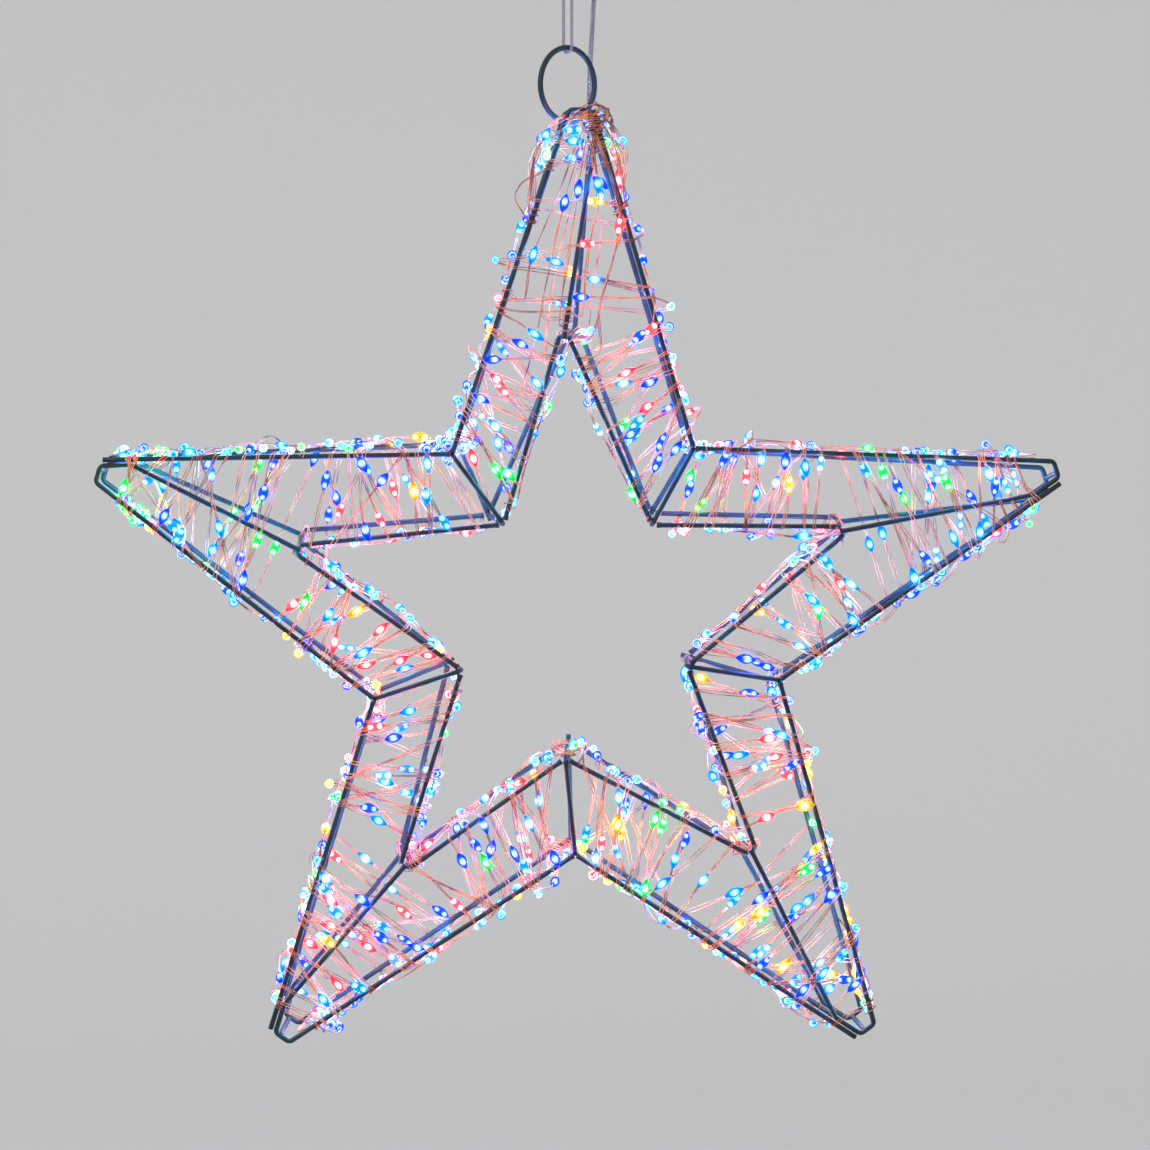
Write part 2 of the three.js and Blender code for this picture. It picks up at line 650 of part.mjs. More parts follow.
// Plug: a moulded low-voltage barrel plug, hanging from the coil's end.
function plugProfile() {
  const barrel = PLUG_BARREL_DIAMETER / 2;
  const bore = barrel / 2;
  const grip = PLUG_DIAMETER / 2;
  const neck = LEAD_DIAMETER / 2 + TIE_THICKNESS;
  const gripTop = PLUG_BARREL + PLUG_GRIP;
  return [
    [0, PLUG_BARREL / 4], [bore, PLUG_BARREL / 4], [bore, 0], [barrel, 0], [barrel, PLUG_BARREL],
    [grip - barrel / 4, PLUG_BARREL], [grip, PLUG_BARREL + barrel / 4], [grip, gripTop - barrel / 2],
    [neck + barrel / 4, gripTop], [neck, gripTop + PLUG_RELIEF], [0, gripTop + PLUG_RELIEF],
  ];
}

const plug = addPiece("lead_plug", turned(plugProfile()), materials.moulded);
plug.position.set(coilEnd.x, coilEnd.y, coilEnd.z - CORD_GAP - PLUG_BARREL - PLUG_GRIP - PLUG_RELIEF);

export default star;
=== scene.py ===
import random
from functools import partial
from math import acos, atan2, copysign, cos, exp, pi, radians, sin, sqrt, tan

import bpy
import numpy as np
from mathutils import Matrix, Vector


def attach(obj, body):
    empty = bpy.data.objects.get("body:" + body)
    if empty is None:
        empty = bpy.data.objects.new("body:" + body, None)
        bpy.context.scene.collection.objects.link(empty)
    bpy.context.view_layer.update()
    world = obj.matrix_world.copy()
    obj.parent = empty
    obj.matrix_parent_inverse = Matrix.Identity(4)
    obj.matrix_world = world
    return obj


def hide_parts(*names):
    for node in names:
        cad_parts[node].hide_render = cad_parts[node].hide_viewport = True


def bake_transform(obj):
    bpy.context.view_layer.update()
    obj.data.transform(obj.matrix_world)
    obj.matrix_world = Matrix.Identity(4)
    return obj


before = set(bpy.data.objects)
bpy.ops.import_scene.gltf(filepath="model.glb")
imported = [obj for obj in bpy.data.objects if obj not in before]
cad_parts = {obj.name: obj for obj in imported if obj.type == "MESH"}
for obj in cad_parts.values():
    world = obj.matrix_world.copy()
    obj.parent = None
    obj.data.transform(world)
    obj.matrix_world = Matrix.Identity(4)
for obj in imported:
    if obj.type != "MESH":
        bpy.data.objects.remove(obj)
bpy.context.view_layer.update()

# Camera: it stands 1.5 m in front of the star, a little to its left and above its middle, and looks
# slightly down with a long lens, so that the top of the picture cuts the cords above the ring.
CAMERA_PLACE = (-0.072, -1.5, -0.0716)
CAMERA_YAW = radians(2.86)
CAMERA_PITCH = radians(5.2)
CAMERA_LENS = 117.9
CAMERA_SENSOR = 36


def placed(name, data):
    """A new object in the scene with this data."""
    made = bpy.data.objects.new(name, data)
    bpy.context.scene.collection.objects.link(made)
    return made


camera_data = bpy.data.cameras.new("camera")
camera_data.lens = CAMERA_LENS
camera_data.sensor_width = CAMERA_SENSOR
camera = placed("camera", camera_data)
camera.location = CAMERA_PLACE
camera.rotation_euler = (pi / 2 - CAMERA_PITCH, 0.0, -CAMERA_YAW)
bpy.context.scene.camera = camera
bpy.context.scene.view_settings.view_transform = "Standard"

# Hanging cord: a clear nylon monofilament, doubled under the top of the ring and drawn up tight to the
# knot that goes over the hook. It is cut from a reel, so it is one even round strand.
MM = 0.001
TINY = 1e-12
RING_TURN = radians(40)
HANGER_DIAMETER = 1.2 * MM
HANGER_BEND = 2.4 * MM
HANGER_CLEARANCE = 0.3 * MM
HANGER_STEPS = 16
HANGER_SIDES = 12
# Stations of each strand in mm: the height, and how far it stands beside the ring's plane.
HANGER_LEGS = [
    (66, 0.8), (60, 1.3), (54, 1.9), (48, 2.4), (36, 2.4), (24, 2.4), (14, 2.4), (7, 2.4),
]


def tube_rings(points, radii, sides):
    """The vertices of a tube along points, one ring of sides vertices for each point."""
    line = np.array(points, float)
    steps = np.diff(line, axis=0)
    steps /= np.maximum(np.linalg.norm(steps, axis=1), TINY)[:, None]
    tangents = np.vstack([steps[:1], steps[:-1] + steps[1:], steps[-1:]])
    tangents /= np.maximum(np.linalg.norm(tangents, axis=1), TINY)[:, None]
    start = np.eye(3)[np.argmin(np.abs(tangents[0]))]
    normal = np.cross(tangents[0], start)
    normal /= np.linalg.norm(normal)
    angles = np.arange(sides) * 2 * pi / sides
    rings = []
    for place, tangent, radius in zip(line, tangents, radii):
        normal = normal - tangent * normal.dot(tangent)
        normal /= np.linalg.norm(normal)
        side = np.cross(tangent, normal)
        rings.append(place + radius * (np.outer(np.cos(angles), normal) + np.outer(np.sin(angles), side)))
    return np.vstack(rings)


class Shape:
    """Vertices and faces that tubes and bands are added to, and that become one piece."""

    def __init__(self):
        self.vertices = []
        self.faces = []
        self.slots = []
        self.shares = []
        self.count = 0

    def add(self, vertices, faces, slot=0, shares=None):
        self.vertices.append(vertices)
        self.faces.extend([tuple(self.count + i for i in face) for face in faces])
        self.slots.extend([slot] * len(faces))
        self.shares.append(np.zeros(len(vertices)) if shares is None else shares)
        self.count += len(vertices)

    def tube(self, points, radii, sides, slot=0, shares=None):
        if not hasattr(radii, "__len__"):
            radii = [radii] * len(points)
        last = (len(points) - 1) * sides
        faces = []
        for i in range(0, last, sides):
            for side in range(sides):
                a = i + side
                b = i + (side + 1) % sides
                faces.append((a, b, b + sides, a + sides))
        faces.append(tuple(reversed(range(sides))))
        faces.append(tuple(range(last, last + sides)))
        if shares is not None:
            shares = np.repeat(np.array(shares, float), sides)
        self.add(tube_rings(points, radii, sides), faces, slot, shares)

    def piece(self, name, *materials):
        mesh = bpy.data.meshes.new(name)
        mesh.from_pydata(np.vstack(self.vertices).tolist(), [], self.faces)
        for material in materials:
            mesh.materials.append(material)
        mesh.polygons.foreach_set("material_index", self.slots)
        shares = np.concatenate(self.shares)
        if shares.any():
            mesh.attributes.new("from_middle", "FLOAT", "POINT").data.foreach_set("value", shares)
        mesh.shade_smooth()
        mesh.update()
        return placed(name, mesh)


def tube_piece(name, material, points, radii, sides):
    shape = Shape()
    shape.tube(points, radii, sides)
    return shape.piece(name, material)


def belongs(piece, body, slot, *nodes):
    """Hangs a piece on what it rides on and hides the CAD nodes that it stands for; slot is not used."""
    if nodes:
        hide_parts(*nodes)
    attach(piece, body)


def set_values(node, values):
    """Sets a node's settings, whose names are in small letters, and its sockets, with _ for a space."""
    for label, value in values.items():
        if label.islower():
            setattr(node, label, value)
        else:
            node.inputs[label.replace("_", " ")].default_value = value


def add_node(tree, kind, **values):
    node = tree.nodes.new("ShaderNode" + kind)
    set_values(node, values)
    return node


def join(tree, *links):
    """Links sockets, each link given as a node, its output, the next node and its input."""
    for source, output, target, socket in links:
        tree.links.new(source.outputs[output], target.inputs[socket])


def new_group(name, inputs, outputs):
    """An empty shader node group with these sockets, and its input and output nodes."""
    group = bpy.data.node_groups.new(name, "ShaderNodeTree")
    for direction, sockets in (("INPUT", inputs), ("OUTPUT", outputs)):
        for label, kind in sockets.items():
            group.interface.new_socket(label, in_out=direction, socket_type="NodeSocket" + kind)
    return group, group.nodes.new("NodeGroupInput"), group.nodes.new("NodeGroupOutput")


def new_material(name):
    """A material with its node tree and its Principled shader."""
    material = bpy.data.materials.new(name)
    material.use_nodes = True
    return material, material.node_tree, material.node_tree.nodes["Principled BSDF"]


# The mottle that every drawn, dipped or moulded surface here has: its colour and gloss drift a little
# over a few millimetres, and a finer grain lifts the surface. On the black lacquer and the enamelled
# wires, the drift to the second colour is painted light and shade, not the surface's own tone.
finish_group, finish_in, finish_out = new_group(
    "mottle_and_painted_light",
    {
        "Color": "Color", "Second Color": "Color", "Drift Scale": "Float", "Grain Scale": "Float",
        "Smoothest": "Float", "Roughest": "Float",
    },
    {"Color": "Color", "Roughness": "Float", "Height": "Float"},
)
surface_place = add_node(finish_group, "TexCoord")
drift = add_node(finish_group, "TexNoise", Detail=3.0)
grain = add_node(finish_group, "TexNoise", Detail=2.0)
drift_reach = add_node(finish_group, "MapRange", From_Min=0.32, From_Max=0.68)
blend_color = add_node(finish_group, "Mix", data_type="RGBA")
gloss = add_node(finish_group, "MapRange")
join(
    finish_group,
    (surface_place, "Object", drift, "Vector"), (surface_place, "Object", grain, "Vector"),
    (finish_in, "Drift Scale", drift, "Scale"), (finish_in, "Grain Scale", grain, "Scale"),
    (drift, "Fac", drift_reach, "Value"), (drift_reach, "Result", blend_color, "Factor"),
    (finish_in, "Color", blend_color, "A"), (finish_in, "Second Color", blend_color, "B"),
    (drift, "Fac", gloss, "Value"), (finish_in, "Smoothest", gloss, "To Min"),
    (finish_in, "Roughest", gloss, "To Max"), (blend_color, "Result", finish_out, "Color"),
    (gloss, "Result", finish_out, "Roughness"), (grain, "Fac", finish_out, "Height"),
)


def finished(name, color, second, scales, roughness, lift, **values):
    """A material in the drifting finish: two colours, scales of drift and grain, roughness and relief."""
    material, tree, surface = new_material(name)
    finish = add_node(
        tree, "Group", node_tree=finish_group, Color=(*color, 1.0), Second_Color=(*second, 1.0),
        Drift_Scale=scales[0], Grain_Scale=scales[1], Smoothest=roughness[0], Roughest=roughness[1],
    )
    relief = add_node(tree, "Bump", Distance=lift)
    join(
        tree,
        (finish, "Color", surface, "Base Color"), (finish, "Roughness", surface, "Roughness"),
        (finish, "Height", relief, "Height"), (relief, "Normal", surface, "Normal"),
    )
    set_values(surface, values)
    return material


clear_nylon = finished(
    "clear_nylon", (0.4, 0.38, 0.46), (0.3, 0.28, 0.36), scales=(300, 2500), roughness=(0.2, 0.4),
    lift=0.00003, Transmission_Weight=0.4, IOR=1.45,
)


def beside_ring(across, height):
    """A point beside the ring's plane: across it, at this height."""
    return (across * sin(RING_TURN), -across * cos(RING_TURN), height)


hanger_low = -(HANGER_DIAMETER / 2 + HANGER_CLEARANCE)
hanger_bend = []
for step in range(HANGER_STEPS + 1):
    angle = pi * step / HANGER_STEPS
    rise = HANGER_BEND * (1 - sin(angle))
    hanger_bend.append(beside_ring(HANGER_BEND * cos(angle), hanger_low + rise))
hanger_path = (
    [beside_ring(across * MM, height * MM) for height, across in HANGER_LEGS]
    + hanger_bend
    + [beside_ring(-across * MM, height * MM) for height, across in reversed(HANGER_LEGS)]
)
hanging_cord = tube_piece("hanging_cord_nylon", clear_nylon, hanger_path, HANGER_DIAMETER / 2, HANGER_SIDES)
belongs(hanging_cord, "hanger", "clear_cord", "hanging_cord")

# Knot of the hanging cord: the two ends tied together in an overhand knot, above the coil of the lead,
# with the short cut tails that such a knot keeps.
KNOT_RADIUS = 1.5 * MM
KNOT_RISE = 1.7 * MM
KNOT_MIDDLE = 68.8 * MM
KNOT_STRAND = 1.05 * MM
KNOT_STEPS = 72
KNOT_WAIST = 0.62
KNOT_LEAN = 0.4
# How often a turn the knot's strand goes in and out and up and down, and the shares of its rise in which
# it does so and climbs.
KNOT_IN_OUT = 1.5
KNOT_UP_DOWN = 0.75
KNOT_SWAY = 0.75
KNOT_CLIMB = 0.5

knot_line = []
for step in range(KNOT_STEPS):
    angle = 4 * pi * step / (KNOT_STEPS - 1)
    reach = KNOT_RADIUS * (KNOT_WAIST + (1 - KNOT_WAIST) * cos(KNOT_IN_OUT * angle))
    sway = sin(KNOT_UP_DOWN * angle - KNOT_LEAN) * KNOT_SWAY
    rise = KNOT_RISE * (sway + (step / KNOT_STEPS - 0.5) * KNOT_CLIMB)
    knot_line.append((reach * cos(angle), reach * sin(angle), KNOT_MIDDLE + rise))
hanging_knot = tube_piece("hanging_knot_nylon", clear_nylon, knot_line, KNOT_STRAND / 2, HANGER_SIDES)
belongs(hanging_knot, "hanger", "clear_cord", "hanging_knot")

# Lead: a clear extruded twin cord with two tinned cores, from its joint behind the top arm up beside
# the hanging cord. The length that the adaptor end needs is wound in a coil and tied above the ring.
LEAD_WIDTH = 2.0 * MM
LEAD_SIDES = 10
LEAD_SPACING = 2.0 * MM
CORE_DIAMETER = 0.5 * MM
CORE_SIDES = 6
CORE_APART = 0.45 * MM
CORE_TWIST = radians(9)
COIL_OUTER_RADIUS = 19.0 * MM
COIL_LAYERS = 4
COIL_TURNS = 5
COIL_SPACING = 0.8 * MM
COIL_STEPS = 24
CORD_CLEARANCE = 0.3 * MM
# The lead's stations in mm, from the sleeve up to the coil.
LEAD_ROUTE = [
    (9.9, 24, -23.7), (9.9, 24, -19), (9.95, 23.9, -14), (10.1, 23.6, -8), (10.3, 23.1, -2),
    (10.6, 22.4, 4), (10.9, 21.5, 10), (11.2, 20.3, 16), (11.5, 18.9, 22), (11.8, 17.4, 28),
    (12, 15.8, 34), (12.2, 14.3, 40), (12.35, 13.2, 46), (12.4, 12.5, 51), (12.4, 12.2, 55.7),
]


def reach_of(vector):
    return float(np.linalg.norm(vector))


def curved(points, spacing):
    """A smooth line through the given points, with stations about spacing apart."""
    pts = [np.array(p, float) for p in points]
    pts = [2 * pts[0] - pts[1]] + pts + [2 * pts[-1] - pts[-2]]
    line = []
    for before, a, b, after in zip(pts, pts[1:], pts[2:], pts[3:]):
        count = max(1, round(reach_of(b - a) / spacing))
        for step in range(count):
            t = step / count
            line.append(0.5 * (
                2 * a + (b - before) * t + (2 * before - 5 * a + 4 * b - after) * t * t
                + (3 * a - before - 3 * b + after) * t ** 3
            ))
    line.append(pts[-2])
    return line


def in_metres(points):
    return [np.array(point) * MM for point in points]


def upwards(height):
    return np.array((0, 0, height))


def backwards(depth):
    return np.array((0, depth, 0))


lead_route = in_metres(LEAD_ROUTE)
coil_pitch = LEAD_WIDTH + COIL_SPACING
coil_inner = COIL_OUTER_RADIUS - COIL_TURNS * coil_pitch
coil_start = lead_route[-1] + upwards(CORD_CLEARANCE)
coil_centre = coil_start + np.array((-COIL_OUTER_RADIUS, 0, LEAD_WIDTH))


def coil_point(turn, radius, layer):
    angle = 2 * pi * turn
    return coil_centre + np.array((radius * cos(angle), -layer * coil_pitch, radius * sin(angle)))


coil_line = [coil_start]
turn = 0.0
for layer in range(COIL_LAYERS):
    inwards = layer % 2 == 0
    for step in range(COIL_TURNS * COIL_STEPS + 1):
        wound = step / COIL_STEPS * coil_pitch
        radius = COIL_OUTER_RADIUS - wound if inwards else coil_inner + wound
        coil_line.append(coil_point(turn, radius, layer))
        if step < COIL_TURNS * COIL_STEPS:
            turn += 1 / COIL_STEPS
    if layer < COIL_LAYERS - 1:
        for step in range(1, COIL_STEPS // 2):
            radius = coil_inner if inwards else COIL_OUTER_RADIUS
            coil_line.append(coil_point(turn + step / COIL_STEPS, radius, layer + 2 * step / COIL_STEPS))
        turn += 0.5
coil_end = coil_line[-1] - upwards(LEAD_WIDTH)
coil_line.append(coil_end)
lead_path = curved(lead_route, LEAD_SPACING)[:-1] + coil_line

clear_pvc = finished(
    "clear_pvc", (0.6, 0.57, 0.56), (0.42, 0.4, 0.44), scales=(250, 2000), roughness=(0.1, 0.25),
    lift=0.00003, Transmission_Weight=0.7, IOR=1.42,
)
tinned_copper = finished(
    "tinned_copper", (0.1, 0.12, 0.2), (0.16, 0.09, 0.08), scales=(160, 3000), roughness=(0.3, 0.5),
    lift=0.00002, Metallic=0.6,
)
lead = tube_piece("lead_sheath", clear_pvc, lead_path, LEAD_WIDTH / 2, LEAD_SIDES)
belongs(lead, "hanger", "clear_cord", "lead_cord", "lead_coil")


def cross_frames(points, radius):
    """A ring of four points round each station of a line, by which strands are laid round it."""
    return tube_rings(points, [radius] * len(points), 4).reshape(len(points), 4, 3)


def strand_point(ring, angle, spread=1.0):
    middle = ring.mean(axis=0)
    return middle + ((ring[0] - middle) * cos(angle) + (ring[1] - middle) * sin(angle)) * spread


core_frames = cross_frames(lead_path, CORE_APART)
core_shape = Shape()
for offset in (0.0, pi):
    core = [strand_point(ring, offset + CORE_TWIST * i) for i, ring in enumerate(core_frames)]
    core_shape.tube(core, CORE_DIAMETER / 2, CORE_SIDES)
lead_cores = core_shape.piece("lead_cores", tinned_copper)
belongs(lead_cores, "hanger", "copper")

# Splice: a pale heat-shrink sleeve, drawn down at both ends, over the soldered joint between the
# lead's cores and the copper wires of the light string.
SPLICE_RADIUS = 1.7 * MM
SPLICE_LENGTH = 12.0 * MM
SPLICE_SIDES = 24
# Shares of its length from the bottom up, and of its radius.
SPLICE_SHARES = [
    (0.0, 0.5), (0.02, 0.62), (0.1, 0.72), (0.2, 0.93), (0.35, 1.0), (0.5, 0.97), (0.65, 1.0),
    (0.8, 0.94), (0.9, 0.78), (0.98, 0.68), (1.0, 0.58),
]


def turned(shape, base, profile, sides, slot=0):
    """Adds a form turned on an upright axis, from the heights over its base and the radii there."""
    shape.tube([base + upwards(up) for up, _ in profile], [radius for _, radius in profile], sides, slot)


shrunk_sleeve = finished(
    "shrunk_sleeve", (0.68, 0.68, 0.66), (0.6, 0.6, 0.58), scales=(350, 900), roughness=(0.35, 0.55),
    lift=0.00012,
)
splice_bottom = lead_route[0] - upwards(CORD_CLEARANCE + SPLICE_LENGTH)
splice_shape = Shape()
splice_profile = [(SPLICE_LENGTH * up, SPLICE_RADIUS * share) for up, share in SPLICE_SHARES]
turned(splice_shape, splice_bottom, splice_profile, SPLICE_SIDES)
lead_splice = splice_shape.piece("lead_splice_sleeve", shrunk_sleeve)
belongs(lead_splice, "hanger", "shrink_sleeve", "lead_splice")

# Coil tie: a moulded strap, closed round the coil's side and the two strands of the hanging cord, that
# holds the coil up beside them. It is as thick as a cable tie, with soft edges.
TIE_WIDTH = 3.0 * MM
TIE_THICKNESS = 0.9 * MM
TIE_STEPS = 10
TIE_CROWN = 0.62
# The strap's section: shares of its thickness outwards, and of its width upwards.
TIE_SECTION = [
    (0.0, -0.5), (0.0, 0.5), (0.35, TIE_CROWN), (0.75, 0.5), (1.0, 0.3), (1.0, -0.3), (0.75, -0.5),
    (0.35, -TIE_CROWN),
]

moulded_pvc = finished(
    "moulded_pvc", (0.64, 0.64, 0.61), (0.58, 0.58, 0.55), scales=(150, 1200), roughness=(0.35, 0.5),
    lift=0.00006,
)
tie_clear = LEAD_WIDTH / 2 + CORD_CLEARANCE
leg_reach = HANGER_DIAMETER / 2 + CORD_CLEARANCE
tie_left = min(
    -HANGER_BEND * sin(RING_TURN) - leg_reach,
    coil_centre[0] + sqrt(coil_inner ** 2 - (TIE_WIDTH / 2) ** 2) - tie_clear,
)
tie_right = coil_start[0] + tie_clear
tie_front = -HANGER_BEND * cos(RING_TURN) - leg_reach
tie_back = coil_start[1] + tie_clear
tie_vertices = []
for x, y, quarter in (
    (tie_right, tie_front, -1), (tie_right, tie_back, 0), (tie_left, tie_back, 1), (tie_left, tie_front, 2),
):
    x += copysign(TIE_WIDTH / 2, (tie_left + tie_right) / 2 - x)
    y += copysign(TIE_WIDTH / 2, (tie_front + tie_back) / 2 - y)
    for step in range(TIE_STEPS + 1):
        angle = pi / 2 * (quarter + step / TIE_STEPS)
        for out, up in TIE_SECTION:
            reach = TIE_WIDTH / 2 + out * TIE_THICKNESS
            height = coil_centre[2] + up * TIE_WIDTH / (2 * TIE_CROWN)
            tie_vertices.append((x + cos(angle) * reach, y + sin(angle) * reach, height))
sides = len(TIE_SECTION)
tie_faces = []
for i in range(0, len(tie_vertices), sides):
    following = (i + sides) % len(tie_vertices)
    for side in range(sides):
        beside = (side + 1) % sides
        tie_faces.append((i + side, following + side, following + beside, i + beside))
tie_shape = Shape()
tie_shape.add(np.array(tie_vertices), tie_faces)
coil_tie = tie_shape.piece("coil_tie_strap", moulded_pvc)
belongs(coil_tie, "hanger", "moulded_plastic", "coil_tie")

# Plug: a low-voltage barrel plug, moulded in one with a ribbed grip and a stepped strain relief over
# the lead's end. Its hollow barrel is turned from nickelled brass.
PLUG_DIAMETER = 8.6 * MM
PLUG_GRIP = 15.0 * MM
PLUG_RELIEF = 6.0 * MM
PLUG_BARREL = 8.0 * MM
PLUG_BARREL_DIAMETER = 5.5 * MM
PLUG_RIBS = 9
PLUG_RELIEF_RINGS = 4
PLUG_SIDES = 40
# Profiles of the grip's two ends, one rib and one ring of the relief: heights in mm, shares of the radius.
GRIP_FOOT = [(0, 0.8), (0.5, 0.93), (1.4, 1.0)]
GRIP_RIB = [(2.4, 1.0), (2.65, 0.93), (3.0, 0.93), (3.25, 1.0)]
GRIP_HEAD = [(13.8, 0.95), (15, 0.62)]
RELIEF_RING = [(15.4, 0.56), (16.1, 0.56), (16.2, 0.46), (16.7, 0.46)]
RIB_PITCH = 1.1
RELIEF_PITCH = 1.45
RELIEF_TAPER = 0.05
# Shares of the barrel's height over its mouth, and of its radius, outside and then inside.
BARREL_SHARES = [(1.02, 1.0), (0.0375, 1.0), (0.0, 0.93), (0.0, 0.55), (0.0375, 0.48), (0.8, 0.48)]

nickel = finished(
    "nickel", (0.6, 0.58, 0.55), (0.52, 0.5, 0.48), scales=(500, 3000), roughness=(0.18, 0.3),
    lift=0.00002, Metallic=1.0,
)
plug_base = coil_end - upwards(CORD_CLEARANCE + PLUG_BARREL + PLUG_GRIP + PLUG_RELIEF)
grip_profile = (
    GRIP_FOOT
    + [(up + rib * RIB_PITCH, share) for rib in range(PLUG_RIBS) for up, share in GRIP_RIB]
    + GRIP_HEAD
    + [
        (up + ring * RELIEF_PITCH, share - ring * RELIEF_TAPER)
        for ring in range(PLUG_RELIEF_RINGS) for up, share in RELIEF_RING
    ]
)
grip_profile = [(PLUG_BARREL + up * MM, PLUG_DIAMETER / 2 * share) for up, share in grip_profile]
barrel_profile = [(PLUG_BARREL * up, PLUG_BARREL_DIAMETER / 2 * share) for up, share in BARREL_SHARES]
plug_shape = Shape()
turned(plug_shape, plug_base, grip_profile, PLUG_SIDES)
turned(plug_shape, plug_base, barrel_profile, PLUG_SIDES, slot=1)
lead_plug = plug_shape.piece("lead_plug_moulding", moulded_pvc, nickel)
belongs(lead_plug, "hanger", "moulded_plastic", "lead_plug")

# Hanging ring: a short length of steel rod bent round and closed by a butt weld, which stands a little
# proud. It hangs in the cord's loop, and the star's top spacer lies in it. It is lacquered with the frame.
RING_BORE = 26.9 * MM
RING_WIRE = 2.2 * MM
RING_STEPS = 96
RING_SEAM_AT = radians(-55)
SEAM_SWELL = 0.1
SEAM_WIDTH = 1.1 * MM
ROD_SIDES = 16

# Black lacquer whose drift to a dark azure second colour is painted light: blue patches that stand in for the
# beads' glints on the rods and the ring.
lacquer_painted_blue_glints = finished(
    "lacquer_painted_blue_glints", (0.007, 0.005, 0.007), (0.002, 0.034, 0.045), scales=(60, 900), roughness=(0.3, 0.45),
    lift=0.00005, Specular_IOR_Level=0.35,
)
ring_radius = (RING_BORE + RING_WIRE) / 2
ring_line = []
ring_radii = []
for step in range(RING_STEPS + 1):
    angle = RING_SEAM_AT + 2 * pi * step / RING_STEPS
    across = ring_radius * cos(angle)
    height = -RING_BORE / 2 + ring_radius * sin(angle)
    ring_line.append((across * cos(RING_TURN), across * sin(RING_TURN), height))
    seam = min(step, RING_STEPS - step) * 2 * pi * ring_radius / RING_STEPS
    ring_radii.append(RING_WIRE / 2 * (1.0 + SEAM_SWELL * exp(-(seam / SEAM_WIDTH) ** 2)))
hanging_ring = tube_piece("ring_wire", lacquer_painted_blue_glints, ring_line, ring_radii, ROD_SIDES)
belongs(hanging_ring, "hanger", "lacquer", "hanging_ring")

# Frame: steel rod, bent cold by hand and welded into a ring-star box, then dipped in black lacquer.
# The corners stray from the true star, as the bends of such a frame do.
TIP_RADIUS = 204 * MM
NOTCH_RADIUS = 88 * MM
INNER_TIP_RADIUS = 112 * MM
INNER_NOTCH_RADIUS = 50 * MM
FRAME_DEPTH = 36 * MM
TIP_WIDTH = 9.2 * MM
STRUT_LAP = 12 * MM
ROD_DIAMETER = 2 * MM
ROD_SPACING = 6 * MM
BEND_RADIUS = 2.2 * MM
BEND_STEPS = 8
WELD_GAP = 0.3 * MM
WELD_REACH = 1.6 * WELD_GAP
STUB_LENGTH = 2.4 * MM
HAND_BEND = 5 * MM
RING_CONTACT = radians(-57.5)
ARMS = ["top", "upper_right", "lower_right", "lower_left", "upper_left"]
NOTCHES = ["upper_right", "lower_right", "bottom", "lower_left", "upper_left"]
# How far each corner strays to the right and up, front and back, in shares of the hand bend.
TIP_SHARES = [
    [(0.45, 0), (0.45, 0)], [(-0.5, -0.35), (-0.15, -1.3)], [(-0.7, 0.4), (-0.85, 0.1)],
    [(0.4, 0.5), (1, 0.5)], [(1.4, 0), (1.4, -0.3)],
]
NOTCH_SHARES = [
    [(-1, 0), (-0.8, -0.5)], [(-0.5, 1.2), (-0.6, 0.4)], [(0, -0.5), (0, -0.4)],
    [(0.8, -0.1), (1.1, -0.3)], [(0.6, -0.4), (1.3, 0)],
]
INNER_TIP_SHARES = [
    [(-0.9, 0.6), (0.3, 1)], [(-0.2, 0.7), (0.4, 0.9)], [(0.9, 0.2), (0.4, -0.2)],
    [(-0.4, -0.8), (-0.3, -0.6)], [(-0.5, -0.6), (-0.4, 0)],
]
INNER_NOTCH_SHARES = [
    [(0.2, 0.1), (0.6, 0.5)], [(-0.6, 0), (-0.1, 0)], [(-0.8, -0.4), (-0.2, 0.1)],
    [(0.5, -0.2), (-0.4, -0.3)], [(0.2, 0.2), (-0.8, 0.4)],
]
# Stations at a rod's end, in mm, with shares of its radius: a fillet weld, and a cut with a soft edge.
WELD_SHARES = [(0.0, 1.18), (0.5, 1.24), (1.2, 1.12), (2.4, 1.0)]
CUT_SHARES = [(0.0, 0.86), (0.12, 1.0)]

rod_radius = ROD_DIAMETER / 2
face_y = FRAME_DEPTH / 2
oval_radius = ring_radius * cos(RING_TURN)
rim_normal = Vector((cos(RING_CONTACT) / oval_radius, sin(RING_CONTACT) / ring_radius)).normalized()
bar = (
    Vector((oval_radius * cos(RING_CONTACT), ring_radius * sin(RING_CONTACT) - RING_BORE / 2))
    - rim_normal * (rod_radius + RING_WIRE / 2 + CORD_CLEARANCE)
)
star_centre = np.array((bar.x - HAND_BEND * TIP_SHARES[0][0][0], 0, bar.y - TIP_RADIUS))
notch_turn = pi / len(ARMS)
half_tip = TIP_WIDTH / 2
edge_lean = atan2(
    NOTCH_RADIUS * sin(notch_turn) - half_tip, TIP_RADIUS - NOTCH_RADIUS * cos(notch_turn)
)
strut_start = half_tip - (ROD_DIAMETER + WELD_GAP) / cos(edge_lean)
hairpin_offset = ROD_DIAMETER
edge_stop = rod_radius + WELD_GAP
leg_stop = 2 * rod_radius + WELD_GAP


def arm_direction(arm):
    return pi / 2 - 2 * pi * arm / len(ARMS)


def corner(radius, direction, across, side, shares):
    """A point beside an arm's axis: out along the arm, and across it to the anticlockwise side."""
    right, up = shares[side]
    x = radius * cos(direction) - across * sin(direction) + right * HAND_BEND
    z = radius * sin(direction) + across * cos(direction) + up * HAND_BEND
    return star_centre + np.array((x, face_y if side else -face_y, z))


def tip(arm, across, side):
    return corner(TIP_RADIUS, arm_direction(arm), across, side, TIP_SHARES[arm])


def notch(index, side):
    return corner(NOTCH_RADIUS, arm_direction(index) - notch_turn, 0, side, NOTCH_SHARES[index])


